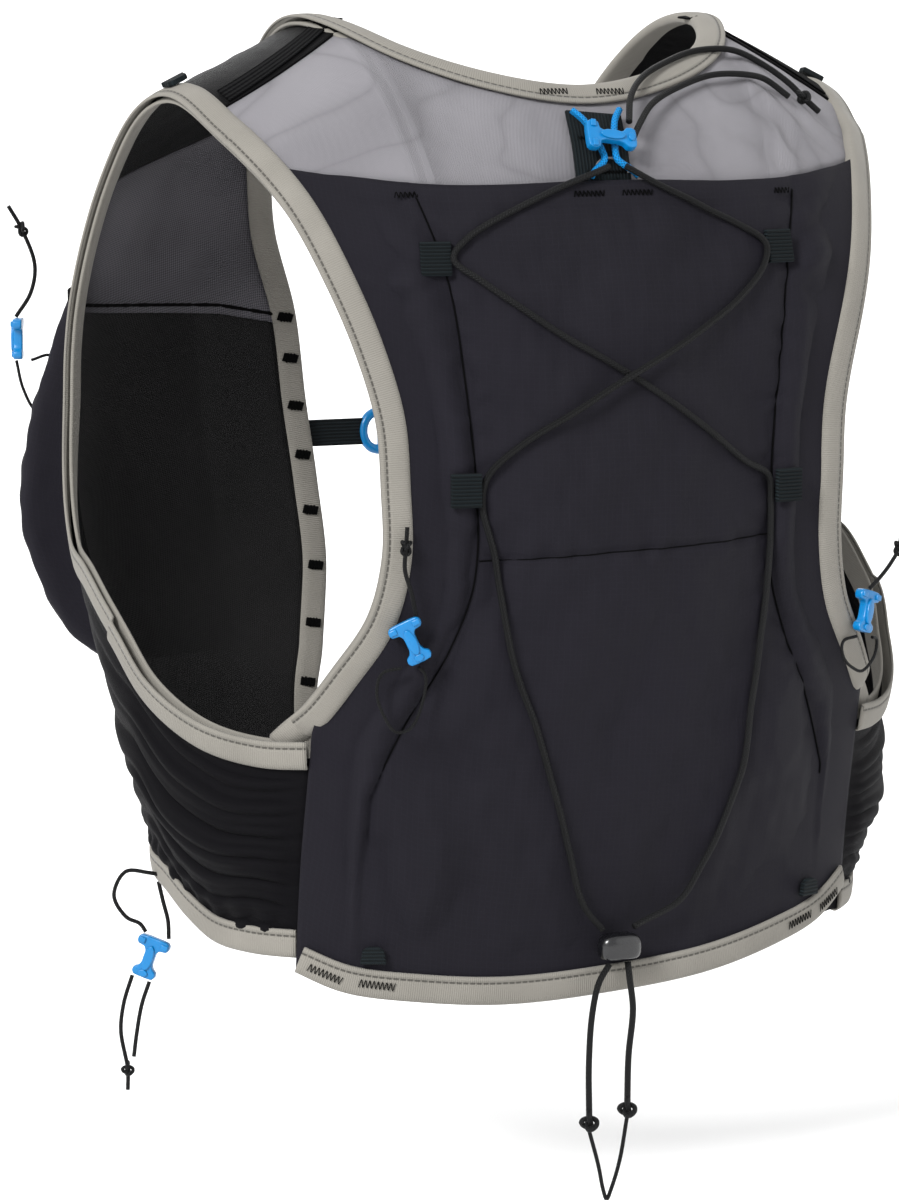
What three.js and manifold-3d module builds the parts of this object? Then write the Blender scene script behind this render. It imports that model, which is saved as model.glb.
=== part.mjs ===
// Running hydration vest, worn shape, millimetres, +Z up.
// The wearer faces -Y, the back faces +Y and the wearer's left is +X.
// The origin is midway between the two straps, at the height of their undersides on the shoulders.
import * as THREE from "three";
import { mergeVertices } from "three/addons/utils/BufferGeometryUtils.js";
import Module from "manifold-3d";

const wasm = await Module();
wasm.setup();

// Body of the vest
const VEST_LENGTH = 405; // shoulder ridge to back hem, down the centre
const CHEST_HALF_WIDTH = 184; // centre to side at the chest
const BACK_DEPTH = 120; // shoulder ridge to the rearmost point of the back
const FRONT_DEPTH = 112; // shoulder ridge to the foremost point of the front
const BACK_ROUND = 130; // height over which the back curves up into the shoulder
const FRONT_ROUND = 150; // the same at the front
const SHOULDER_SLOPE = 0.47; // fall of the shoulder for each millimetre outward
const SLOPE_START = 88; // distance from the centre where the shoulder starts to fall
const SLOPE_END = 170; // height below the ridge where that fall has died out
const BACK_SQUARENESS = 2.5; // exponent of the rounded section across the back

// Cloth, tapes and cords
const FABRIC = 1.2; // wall of every fabric panel
const TAPE = 1.2; // wall of the folded edge binding
const BINDING_WIDTH = 12.5;
const BINDING_INSET = 5; // from the panel's edge in to the middle of its binding
const ARMHOLE_INSET = 2; // the same at an armhole
const LAYER_GAP = 0.6; // air between two layers that lie on each other
const SEAM_GAP = 0.5; // air between two panels that meet edge to edge
const CORD = 2.8; // diameter of the lacing cord
const THIN_CORD = 1.8; // diameter of the cords of the small adjusters
const HANGER_CORD = 3; // diameter of the two coloured cords under the neck

// Pockets
const BACK_PUFF = 9; // how far the back pocket stands off the lining at its middle
const FRONT_PUFF = 31; // the same on a front pocket
const POCKET_SETBACK = 16; // from the armhole's edge in to where the back pocket starts to swell
const RUCHE_DEPTH = 1.6; // height of the gathers in the side wings
const RUCHES = 4;

// Small parts
const HANGER_WIDTH = 25;
const HANGER_THICKNESS = 1.6;
const TAB = { width: 11, height: 17, thickness: 2 };
const HOOK = { width: 17, height: 18, thickness: 5, bar: 5, stem: 9 };
const TOGGLE = { width: 19, height: 12, thickness: 11 };
const LOOP = { width: 13, height: 9, thickness: 2.4 };
const STERNUM = { width: 12, thickness: 1.6, end: 17 };
const CLIP = { width: 20, length: 15, thickness: 6 };
const KNOT_LENGTH = 7;
const KNOT_WIDTH = 5.5;
const CORD_SIDES = 8;

const COLOURS = {
  shell: { color: 0x26242a, roughness: 0.8 },
  wing: { color: 0x1b1a1f, roughness: 0.85 },
  mesh: { color: 0x8a888c, roughness: 0.7 },
  darkMesh: { color: 0x151416, roughness: 0.8 },
  binding: { color: 0x96928a, roughness: 0.75 },
  webbing: { color: 0x1e2a2e, roughness: 0.8 },
  cord: { color: 0x2a2c2b, roughness: 0.7 },
  toggle: { color: 0x0d0d0e, roughness: 0.3 },
  accent: { color: 0x0a9fe6, roughness: 0.4 },
};

// Shares of VEST_LENGTH (down), CHEST_HALF_WIDTH (half), BACK_DEPTH (back) and FRONT_DEPTH (front).
// square is the exponent of the rounded section across the front.
const TORSO = [
  { down: 0, half: 0.913, back: 0.983, front: 1, square: 3.3 },
  { down: 0.15, half: 0.967, back: 0.983, front: 1, square: 3.3 },
  { down: 0.3, half: 1, back: 0.983, front: 1, square: 3.3 },
  { down: 0.5, half: 1, back: 1, front: 1, square: 3.3 },
  { down: 0.62, half: 0.978, back: 0.972, front: 0.93, square: 2.8 },
  { down: 0.74, half: 0.918, back: 0.919, front: 0.77, square: 2.1 },
  { down: 0.86, half: 0.864, back: 0.872, front: 0.7, square: 2.1 },
  { down: 1.04, half: 0.826, back: 0.833, front: 0.66, square: 2.1 },
];

// Outlines: across is a share of CHEST_HALF_WIDTH and down a share of VEST_LENGTH.
const NECK_EDGE = [
  { across: 0, down: 0.069 },
  { across: 0.223, down: 0.054 },
  { across: 0.375, down: 0.029 },
  { across: 0.449, down: 0.006 },
];
const NECK_RIDGE = 0.467;
const FRONT_EDGE = [
  { down: 0, across: 0.467 },
  { down: 0.035, across: 0.452 },
  { down: 0.168, across: 0.38 },
  { down: 0.23, across: 0.348 },
  { down: 0.321, across: 0.277 },
  { down: 0.42, across: 0.245 },
  { down: 0.511, across: 0.217 },
  { down: 0.6, across: 0.207 },
  { down: 0.689, across: 0.25 },
  { down: 0.743, across: 0.29 },
  { down: 0.877, across: 0.31 },
];
const ARMHOLE_RIDGE = 0.815;
const ARMHOLE_BACK = [
  { down: 0, across: 0.815 },
  { down: 0.054, across: 0.774 },
  { down: 0.148, across: 0.696 },
  { down: 0.24, across: 0.636 },
  { down: 0.321, across: 0.582 },
  { down: 0.394, across: 0.543 },
  { down: 0.464, across: 0.533 },
  { down: 0.536, across: 0.53 },
  { down: 0.602, across: 0.56 },
  { down: 0.66, across: 0.632 },
  { down: 0.7, across: 0.685 },
  { down: 0.741, across: 0.69 },
  { down: 1, across: 0.69 },
];
const ARMHOLE_BACK_END = 0.705; // where the back binding runs under the wing's
const SHOULDER_BACK = [
  { across: 0.449, down: 0.009 },
  { across: 0.79, down: 0.03 },
];
const SHOULDER_FRONT = 0.11; // where the shoulder panel ends at the front, a share of VEST_LENGTH
const SHOULDER_LEAN = 0.2; // how far its inner edge runs inward for each millimetre down the back
const MOUTH = [
  { across: 0, down: 0.167 },
  { across: 0.45, down: 0.164 },
  { across: 0.62, down: 0.135 },
  { across: 0.76, down: 0.1 },
];
const BACK_HEM = [
  { across: 0, down: 0.998 },
  { across: 0.3, down: 0.993 },
  { across: 0.5, down: 0.977 },
  { across: 0.62, down: 0.963 },
  { across: 0.72, down: 0.935 },
];
const HEM_TILT = 0.03; // the hem hangs lower on the wearer's left
const SIDE_SEAM = 0.69; // where a wing meets the back
const FRONT_TURN = 126; // degrees round from the centre back to the armhole's front edge
const ARMHOLE_FRONT = [0.06, 0.13, 0.22, 0.32, 0.42]; // shares of VEST_LENGTH down that edge
const WING_CLEARANCE = 0.2; // degrees between a wing and the front
const FRONT_SPLIT = { inner: 0.328, outer: 0.267 }; // seam between the front's two meshes
const WING_TOP = [
  { turn: 45, down: 0.742 },
  { turn: 53, down: 0.741 },
  { turn: 65, down: 0.725 },
  { turn: 79, down: 0.683 },
  { turn: 87, down: 0.64 },
  { turn: 95, down: 0.612 },
  { turn: 104, down: 0.583 },
  { turn: 116, down: 0.558 },
  { turn: 126, down: 0.5 },
];
const WING_HEM = [
  { turn: 44, down: 0.951 },
  { turn: 60, down: 0.949 },
  { turn: 69, down: 0.943 },
  { turn: 78, down: 0.925 },
  { turn: 90, down: 0.9 },
  { turn: 126, down: 0.88 },
  { turn: 162, down: 0.877 },
];
const WING_HEM_START = 50; // turn where the wing's hem binding meets the back's
const FRONT_POCKET = { top: 0.27, bottom: 0.68, inner: 0.36, outer: 0.86 };
const FRONT_OVERHANG = 8; // degrees that a full front pocket leans over the armhole's edge
const FRONT_BULGE = { lean: 2, skew: 1.5, round: 0.5 }; // exponents of its swell, fullest near the side
// The front pocket's fullness: a share of FRONT_PUFF for each share of the way down it.
const FRONT_FULLNESS = [
  { along: 0, puff: 0.36 },
  { along: 0.3, puff: 0.72 },
  { along: 0.62, puff: 1 },
  { along: 0.85, puff: 0.9 },
  { along: 0.96, puff: 0.55 },
  { along: 1, puff: 0 },
];
const BACK_FULLNESS = [
  { along: 0, puff: 0.45 },
  { along: 0.2, puff: 0.95 },
  { along: 0.55, puff: 1 },
  { along: 0.8, puff: 0.72 },
  { along: 0.95, puff: 0 },
];
const FLANK_SHARE = 0.3; // fullness of the pocket's two side strips, as a share of its middle's
const BACK_ROUNDNESS = 0.7; // exponent of the middle's swell
// The pocket's two side seams, which hold it to the lining and sweep outward below
const BACK_SEAM = [
  { down: 0.167, across: 0.475 },
  { down: 0.25, across: 0.425 },
  { down: 0.36, across: 0.39 },
  { down: 0.466, across: 0.368 },
  { down: 0.56, across: 0.37 },
  { down: 0.63, across: 0.42 },
  { down: 0.7, across: 0.5 },
  { down: 0.78, across: 0.57 },
];
// The band of a wing that is gathered, as shares of its height and width, and the gathers' slant
const RUCHE_BAND = { top: 0.12, foot: 0.82, reach: 0.8, slant: 3 };

// A smooth value from a table: read column `of` at `at` in column `by`.
function read(rows, by, of, at) {
  const last = rows.length - 1;
  if (at <= rows[0][by]) return rows[0][of];
  if (at >= rows[last][by]) return rows[last][of];
  let i = 0;
  while (rows[i + 1][by] < at) i += 1;
  const slope = (j) => {
    const a = rows[Math.max(0, j - 1)];
    const b = rows[Math.min(last, j + 1)];
    return (b[of] - a[of]) / (b[by] - a[by]);
  };
  const span = rows[i + 1][by] - rows[i][by];
  const t = (at - rows[i][by]) / span;
  const rise = t * t * (3 - 2 * t);
  const leave = slope(i) * span * t * (1 - t) * (1 - t);
  const arrive = slope(i + 1) * span * t * t * (t - 1);
  return rows[i][of] * (1 - rise) + rows[i + 1][of] * rise + leave + arrive;
}

const mix = (a, b, t) => a + (b - a) * t;
const radians = (degrees) => (degrees * Math.PI) / 180;

// The torso's form. side is 1 on the back and -1 on the front; h is the height below the shoulder.
const halfWidth = (h) => CHEST_HALF_WIDTH * read(TORSO, "down", "half", h / VEST_LENGTH);
const roundOf = (side) => (side > 0 ? BACK_ROUND : FRONT_ROUND);
function squareness(h, side) {
  return side > 0 ? BACK_SQUARENESS : read(TORSO, "down", "square", h / VEST_LENGTH);
}

function fullDepth(h, side) {
  if (side > 0) return BACK_DEPTH * read(TORSO, "down", "back", h / VEST_LENGTH);
  return FRONT_DEPTH * read(TORSO, "down", "front", h / VEST_LENGTH);
}

function depth(h, side) {
  const above = Math.max(0, 1 - h / roundOf(side));
  return fullDepth(h, side) * Math.sqrt(Math.max(0, 1 - above * above));
}

const fall = (x) => SHOULDER_SLOPE * Math.max(0, Math.abs(x) - SLOPE_START);
const heightToZ = (x, h) => -h - fall(x) * Math.max(0, 1 - h / SLOPE_END);

function zToHeight(x, z) {
  const h = (-z - fall(x)) / (1 - fall(x) / SLOPE_END);
  return h < SLOPE_END ? h : -z;
}

// How much of its full depth the section still has at x.
function crown(x, h, side) {
  const n = squareness(h, side);
  const w = Math.min(1, Math.abs(x) / halfWidth(h));
  return (1 - w ** n) ** (1 / n);
}

const on = (x, h, side) => new THREE.Vector3(x, side * depth(h, side) * crown(x, h, side), heightToZ(x, h));

// A point at an angle round from the centre back, positive towards the wearer's left.
function around(turn, h) {
  const s = Math.sin(radians(turn));
  const c = Math.cos(radians(turn));
  const side = c >= 0 ? 1 : -1;
  const n = squareness(h, side);
  const reach = (Math.abs(s) ** n + Math.abs(c) ** n) ** (1 / n);
  const x = (halfWidth(h) * s) / reach;
  return new THREE.Vector3(x, (depth(h, side) * c) / reach, heightToZ(x, h));
}

function turnOf(x, h, side) {
  const w = Math.abs(x) / halfWidth(h);
  const angle = (Math.atan2(w, crown(x, h, side)) * 180) / Math.PI;
  return Math.sign(x) * (side > 0 ? angle : 180 - angle);
}

// Negative inside the form and positive outside it. Near the ridge it reads the shoulder's ellipse.
const RIDGE_ZONE = 25;
function level(p) {
  const h = zToHeight(p.x, p.z);
  const side = p.y >= 0 ? 1 : -1;
  if (h < RIDGE_ZONE) {
    const at = Math.max(0, h);
    const across = p.y / (fullDepth(at, side) * crown(p.x, at, side));
    return across ** 2 + (1 - h / roundOf(side)) ** 2 - 1;
  }
  const n = squareness(h, side);
  return (Math.abs(p.x) / halfWidth(h)) ** n + (Math.abs(p.y) / depth(h, side)) ** n - 1;
}

function gradient(p) {
  const step = 0.05;
  const g = new THREE.Vector3();
  for (const axis of ["x", "y", "z"]) {
    const ahead = p.clone();
    const behind = p.clone();
    ahead[axis] += step;
    behind[axis] -= step;
    g[axis] = (level(ahead) - level(behind)) / (2 * step);
  }
  return g;
}

const outward = (p) => gradient(p).normalize();
const lifted = (p, lift) => p.clone().addScaledVector(outward(p), lift);

// Moves a point onto the form.
function settle(p) {
  const q = p.clone();
  for (let i = 0; i < 4; i += 1) {
    const g = gradient(q);
    q.addScaledVector(g, -level(q) / g.lengthSq());
  }
  return q;
}

// Geometry helpers
function closedMesh(positions, index) {
  let volume = 0;
  const [a, b, c] = [new THREE.Vector3(), new THREE.Vector3(), new THREE.Vector3()];
  for (let i = 0; i < index.length; i += 3) {
    a.fromArray(positions, index[i] * 3);
    b.fromArray(positions, index[i + 1] * 3);
    c.fromArray(positions, index[i + 2] * 3);
    volume += a.dot(b.cross(c));
  }
  const order = volume < 0 ? index.slice().reverse() : index;
  const geometry = new THREE.BufferGeometry();
  geometry.setAttribute("position", new THREE.Float32BufferAttribute(positions, 3));
  geometry.setIndex(order);
  geometry.computeVertexNormals();
  return geometry;
}

// A closed shell between two faces: face(u, v) gives a face's points, u and v from 0 to 1.
function shell({ faces, columns, rows }) {
  const positions = [];
  const stride = columns + 1;
  for (const face of faces) {
    for (let j = 0; j <= rows; j += 1) {
      for (let i = 0; i <= columns; i += 1) {
        positions.push(...face(i / columns, j / rows).toArray());
      }
    }
  }
  const layer = stride * (rows + 1);
  const index = [];
  const quad = (a, b, c, d) => index.push(a, b, c, a, c, d);
  for (let j = 0; j < rows; j += 1) {
    for (let i = 0; i < columns; i += 1) {
      const a = j * stride + i;
      quad(a, a + 1, a + stride + 1, a + stride);
      quad(layer + a, layer + a + stride, layer + a + stride + 1, layer + a + 1);
    }
  }
  for (let i = 0; i < columns; i += 1) {
    const top = i;
    const foot = rows * stride + i;
    quad(top, layer + top, layer + top + 1, top + 1);
    quad(foot, foot + 1, layer + foot + 1, layer + foot);
  }
  for (let j = 0; j < rows; j += 1) {
    const first = j * stride;
    const last = first + columns;
    quad(first, first + stride, layer + first + stride, layer + first);
    quad(last, layer + last, layer + last + stride, last + stride);
  }
  return closedMesh(positions, index);
}

// A wall between two offsets of a patch of the form
function wall({ patch, columns, rows, inner, outer }) {
  const faces = [inner, outer].map((offset) => (u, v) => lifted(patch(u, v), offset(u, v)));
  return shell({ faces, columns, rows });
}

// The same for a face that stands steeply off the form: its thickness runs along its own normal.
const NORMAL_STEP = 0.02;
function thickened({ face, columns, rows, turned }) {
  const outerFace = (u, v) => {
    const ahead = face(Math.min(1, u + NORMAL_STEP), v);
    const beside = face(u, Math.min(1, v + NORMAL_STEP));
    ahead.sub(face(Math.max(0, u - NORMAL_STEP), v));
    beside.sub(face(u, Math.max(0, v - NORMAL_STEP)));
    return face(u, v).addScaledVector(beside.cross(ahead).normalize(), turned * FABRIC);
  };
  return shell({ faces: [face, outerFace], columns, rows });
}

// A flat tape laid along a line on the form, its middle `inset` to the side of the line.
function tape({ line, steps, width, inset, lift, thickness }) {
  const path = new THREE.CatmullRomCurve3(line, false, "centripetal");
  const spots = path.getSpacedPoints(steps).map(settle);
  const positions = [];
  spots.forEach((p, i) => {
    const ahead = spots[Math.min(steps, i + 1)];
    const behind = spots[Math.max(0, i - 1)];
    const along = ahead.clone().sub(behind).normalize();
    const up = outward(p);
    const beside = new THREE.Vector3().crossVectors(along, up).normalize();
    const base = lift(p);
    for (const [side, rise] of [[-1, 0], [1, 0], [1, thickness], [-1, thickness]]) {
      const corner = p.clone();
      corner.addScaledVector(beside, inset + (side * width) / 2);
      corner.addScaledVector(up, base + rise);
      positions.push(...corner.toArray());
    }
  });
  const index = [];
  for (let i = 0; i < steps; i += 1) {
    for (let k = 0; k < 4; k += 1) {
      const a = i * 4 + k;
      const b = i * 4 + ((k + 1) % 4);
      index.push(a, b, b + 4, a, b + 4, a + 4);
    }
  }
  const end = steps * 4;
  index.push(0, 2, 1, 0, 3, 2, end, end + 1, end + 2, end, end + 2, end + 3);
  return closedMesh(positions, index);
}

// A round cord through a list of points.
function cord(points, diameter, stepLength = 3 * diameter) {
  const path = new THREE.CatmullRomCurve3(points, false, "centripetal");
  const section = new THREE.Shape();
  for (let k = 0; k < CORD_SIDES; k += 1) {
    const angle = (k / CORD_SIDES) * 2 * Math.PI;
    const x = (Math.cos(angle) * diameter) / 2;
    const y = (Math.sin(angle) * diameter) / 2;
    if (k === 0) section.moveTo(x, y);
    else section.lineTo(x, y);
  }
  section.closePath();
  const steps = Math.max(3, Math.round(path.getLength() / stepLength));
  return new THREE.ExtrudeGeometry(section, { steps, extrudePath: path, curveSegments: 1 });
}

function solid(geometry) {
  const bare = new THREE.BufferGeometry();
  const flat = geometry.index ? geometry.toNonIndexed() : geometry;
  bare.setAttribute("position", flat.getAttribute("position").clone());
  const merged = mergeVertices(bare, 1e-3);
  const vertProperties = new Float32Array(merged.attributes.position.array);
  const triVerts = new Uint32Array(merged.index.array);
  return new wasm.Manifold(new wasm.Mesh({ numProp: 3, vertProperties, triVerts }));
}

function joined(geometries) {
  const [first, ...rest] = geometries.map(solid);
  const mesh = rest.reduce((sum, next) => sum.add(next), first).getMesh();
  const geometry = new THREE.BufferGeometry();
  geometry.setAttribute("position", new THREE.Float32BufferAttribute(Array.from(mesh.vertProperties), 3));
  geometry.setIndex(Array.from(mesh.triVerts));
  geometry.computeVertexNormals();
  return geometry;
}

// Stands a geometry drawn in X and Y, with Z outward, at a place.
function stood(geometry, place, up, out) {
  const z = out.clone().normalize();
  const x = new THREE.Vector3().crossVectors(up, z).normalize();
  const y = new THREE.Vector3().crossVectors(z, x);
  return geometry.applyMatrix4(new THREE.Matrix4().makeBasis(x, y, z).setPosition(place));
}

function outlineSlab(outline, thickness) {
  const shape = new THREE.Shape(outline.map(([x, y]) => new THREE.Vector2(x, y)));
  const slab = new THREE.ExtrudeGeometry(shape, { depth: thickness, bevelEnabled: false });
  return slab.translate(0, 0, -thickness / 2);
}

// A knot is a short barrel along the cord.
function knot(place, along) {
  const r = KNOT_WIDTH / 2;
  const l = KNOT_LENGTH / 2;
  const profile = [[0, -l], [0.7 * r, -0.85 * l], [r, 0], [0.7 * r, 0.85 * l], [0, l]];
  const lathe = new THREE.LatheGeometry(profile.map(([x, y]) => new THREE.Vector2(x, y)), CORD_SIDES);
  const axis = new THREE.Vector3(0, 1, 0);
  const turn = new THREE.Quaternion().setFromUnitVectors(axis, along.clone().normalize());
  return lathe.applyQuaternion(turn).translate(...place.toArray());
}

const vest = new THREE.Group();
const materials = {};
for (const [name, look] of Object.entries(COLOURS)) {
  materials[name] = new THREE.MeshStandardMaterial({ ...look, metalness: 0 });
}

function add(name, geometry, material) {
  const mesh = new THREE.Mesh(geometry, materials[material]);
  mesh.name = name;
  vest.add(mesh);
}

const LEFT = 1;
const RIGHT = -1;
const SIDES = [["left", LEFT], ["right", RIGHT]];
const down = (share) => share * VEST_LENGTH;
const across = (share) => share * CHEST_HALF_WIDTH;
const outerOf = (inner) => (u, v) => inner(u, v) + FABRIC;
const flat = () => 0;

// Outlines as functions of the distance from the centre or of the height
const neckDown = (x) => {
  const share = Math.abs(x) / CHEST_HALF_WIDTH;
  if (share < NECK_EDGE.at(-1).across) return down(read(NECK_EDGE, "across", "down", share));
  return down(read(SHOULDER_BACK, "across", "down", share));
};
const mouthDown = (x) => down(read(MOUTH, "across", "down", Math.abs(x) / CHEST_HALF_WIDTH));
const hemDown = (x) => {
  const share = x / CHEST_HALF_WIDTH;
  return down(read(BACK_HEM, "across", "down", Math.abs(share)) + HEM_TILT * share);
};
const armholeX = (h) => across(read(ARMHOLE_BACK, "down", "across", h / VEST_LENGTH));
const frontEdgeX = (h) => across(read(FRONT_EDGE, "down", "across", h / VEST_LENGTH));

// Where a row between two outlines meets the armhole's edge
function edgeX(topOf, footOf, v) {
  let x = across(SIDE_SEAM);
  for (let i = 0; i < 6; i += 1) x = armholeX(mix(topOf(x), footOf(x), v));
  return x;
}

// Mesh yoke between the neck and the pocket's mouth
function yoke() {
  const top = (x) => neckDown(x) + SEAM_GAP;
  const foot = (x) => mouthDown(x) - SEAM_GAP;
  const patch = (u, v) => {
    const x = (2 * u - 1) * edgeX(top, foot, v);
    return on(x, mix(top(x), foot(x), v), 1);
  };
  add("yoke_mesh", wall({ patch, columns: 16, rows: 4, inner: flat, outer: outerOf(flat) }), "mesh");
}

const backPoint = (u, v) => {
  const x = (2 * u - 1) * edgeX(mouthDown, hemDown, v);
  return on(x, mix(mouthDown(x), hemDown(x), v), 1);
};

// How far the pocket's fabric stands off the lining, seamed down at BACK_SEAM and along its edges.
function backPuff(x, v) {
  const h = mix(mouthDown(x), hemDown(x), v);
  const seam = across(read(BACK_SEAM, "down", "across", h / VEST_LENGTH));
  const full = Math.max(0, read(BACK_FULLNESS, "along", "puff", v));
  const share = Math.abs(x) / seam;
  if (share < 1) return BACK_PUFF * full * (1 - share ** 2) ** BACK_ROUNDNESS;
  const edge = edgeX(mouthDown, hemDown, v) - POCKET_SETBACK;
  const flank = Math.min(1, (Math.abs(x) - seam) / (edge - seam));
  return BACK_PUFF * FLANK_SHARE * full * Math.sin(Math.PI * flank);
}

const BACK_GRID = { columns: 14, rows: 14 };
const POCKET_BASE = FABRIC + LAYER_GAP;
const pocketInner = (u, v) => POCKET_BASE + backPuff(backPoint(u, v).x, v);

function back() {
  add("back_panel", wall({ patch: backPoint, ...BACK_GRID, inner: flat, outer: outerOf(flat) }), "darkMesh");
  const pocket = wall({ patch: backPoint, ...BACK_GRID, inner: pocketInner, outer: outerOf(pocketInner) });
  add("back_pocket", pocket, "shell");
}

// A place on the back pocket's outer face, and how far the pocket stands off the form there
function pocketV(x, h) {
  return (h - mouthDown(x)) / (hemDown(x) - mouthDown(x));
}
// The puff between the corners of the pocket's own grid, where its flat facets lie
function facetPuff(x, v) {
  const column = ((x / edgeX(mouthDown, hemDown, v) + 1) / 2) * BACK_GRID.columns;
  const row = v * BACK_GRID.rows;
  const i = Math.min(BACK_GRID.columns - 1, Math.floor(column));
  const j = Math.min(BACK_GRID.rows - 1, Math.floor(row));
  const corner = (k, rowV) => backPuff(backPoint(k / BACK_GRID.columns, rowV).x, rowV);
  const along = (rowV) => mix(corner(i, rowV), corner(i + 1, rowV), column - i);
  return mix(along(j / BACK_GRID.rows), along((j + 1) / BACK_GRID.rows), row - j);
}
function overPocket(acrossShare, downShare, clearance) {
  const x = across(acrossShare);
  const h = down(downShare);
  const v = Math.min(1, Math.max(0, pocketV(x, h)));
  return lifted(on(x, h, 1), POCKET_BASE + FABRIC + facetPuff(x, v) + clearance);
}

// Panel over the shoulder, from the yoke to the front mesh
function shoulderPanel(name, hand) {
  const [first, last] = SHOULDER_BACK;
  const seamDown = (u) => down(read(SHOULDER_BACK, "across", "down", mix(first.across, last.across, u)));
  const backAngle = (u) => Math.acos(1 - seamDown(u) / BACK_ROUND);
  const frontAngle = Math.acos(1 - down(SHOULDER_FRONT) / FRONT_ROUND);
  const patch = (u, v) => {
    const angle = mix(backAngle(u), -frontAngle, v);
    const side = angle >= 0 ? 1 : -1;
    const h = roundOf(side) * (1 - Math.cos(angle));
    const inner = side > 0 ? across(NECK_RIDGE) - SHOULDER_LEAN * h : frontEdgeX(h);
    const outer = side > 0 ? armholeX(h) : Math.abs(around(FRONT_TURN, h).x);
    return on(hand * mix(inner, outer, u), h, side);
  };
  add(name, wall({ patch, columns: 6, rows: 7, inner: flat, outer: outerOf(flat) }), "wing");
}

// Front of the vest between the centre edge and the armhole or wing
function frontPatch(hand, topOf, footOf) {
  return (u, v) => {
    const h = mix(topOf(u), footOf(u), v);
    const inner = turnOf(frontEdgeX(h), h, -1);
    return around(hand * mix(inner, FRONT_TURN, u), h);
  };
}
const splitDown = (u) => down(mix(FRONT_SPLIT.inner, FRONT_SPLIT.outer, u));
const wingHemDown = (turn) => down(read(WING_HEM, "turn", "down", turn));

function frontPanels(name, hand) {
  const shoulder = () => down(SHOULDER_FRONT) + SEAM_GAP;
  const upper = frontPatch(hand, shoulder, (u) => splitDown(u) - SEAM_GAP);
  const mesh = wall({ patch: upper, columns: 5, rows: 4, inner: flat, outer: outerOf(flat) });
  add("front_mesh_" + name, mesh, "mesh");
  const hem = (u) => wingHemDown(mix(WING_HEM.at(-1).turn, FRONT_TURN, u));
  const lower = frontPatch(hand, splitDown, hem);
  const panel = wall({ patch: lower, columns: 5, rows: 10, inner: flat, outer: outerOf(flat) });
  add("front_panel_" + name, panel, "darkMesh");
}

function frontPocket(name, hand) {
  const patch = (u, v) => {
    const h = down(mix(FRONT_POCKET.top, FRONT_POCKET.bottom, v));
    const inner = turnOf(frontEdgeX(h), h, -1);
    const seat = mix(inner, FRONT_TURN, mix(FRONT_POCKET.inner, FRONT_POCKET.outer, u));
    const full = read(FRONT_FULLNESS, "along", "puff", v);
    const lean = FRONT_OVERHANG * Math.sin(Math.PI * u ** FRONT_BULGE.lean) * full;
    return around(hand * (seat - lean), h);
  };
  const offset = (u, v) => {
    const arch = Math.sin(Math.PI * u ** FRONT_BULGE.skew) ** FRONT_BULGE.round;
    return POCKET_BASE + FRONT_PUFF * arch * read(FRONT_FULLNESS, "along", "puff", v);
  };
  const face = (u, v) => lifted(patch(u, v), offset(u, v));
  const pocket = thickened({ face, columns: 10, rows: 10, turned: hand });
  add("front_pocket_" + name, pocket, "shell");
}

// Side wing between the back and the front, gathered into ruches
function wing(name, hand) {
  const patch = (u, v) => {
    const guide = down(mix(WING_TOP[0].down, WING_HEM[0].down, v));
    const seamTurn = turnOf(across(SIDE_SEAM) + SEAM_GAP, guide, 1);
    const turn = mix(seamTurn, FRONT_TURN - WING_CLEARANCE, u);
    const top = read(WING_TOP, "turn", "down", turn);
    const foot = read(WING_HEM, "turn", "down", turn);
    return around(hand * turn, down(mix(top, foot, v)));
  };
  const ruche = (u, v) => {
    const { top, foot, reach, slant } = RUCHE_BAND;
    const fade = Math.sin(Math.PI * Math.min(1, u / reach));
    const band = Math.sin(Math.PI * THREE.MathUtils.clamp((v - top) / (foot - top), 0, 1));
    return RUCHE_DEPTH * fade * band * (1 + Math.sin(2 * Math.PI * RUCHES * v + slant * u));
  };
  const geometry = wall({ patch, columns: 8, rows: 15, inner: ruche, outer: outerOf(ruche) });
  add("side_wing_" + name, geometry, "wing");
}

// Edge bindings
const OVER_PANEL = FABRIC + LAYER_GAP;
const OVER_POCKET = POCKET_BASE + FABRIC + LAYER_GAP;

// 1 beside the pocket and 0 well above its mouth
function pocketReach(p) {
  const mouth = mouthDown(p.x);
  return THREE.MathUtils.smoothstep(zToHeight(p.x, p.z), mouth - 2 * BINDING_WIDTH, mouth - BINDING_WIDTH);
}

function neckBinding() {
  const half = [];
  for (const row of FRONT_EDGE.slice(1).reverse()) half.push([row.across, row.down, -1]);
  half.push([NECK_RIDGE, 0, 1]);
  for (const row of NECK_EDGE.slice(1).reverse()) half.push([row.across, row.down, 1]);
  const left = half.map(([a, d, side]) => on(across(a), down(d), side));
  const right = half.map(([a, d, side]) => on(-across(a), down(d), side)).reverse();
  const line = [...left, on(0, down(NECK_EDGE[0].down), 1), ...right];
  const look = { steps: 64, width: BINDING_WIDTH, inset: BINDING_INSET, thickness: TAPE };
  add("neck_binding", tape({ line, lift: () => OVER_PANEL, ...look }), "binding");
}

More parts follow.
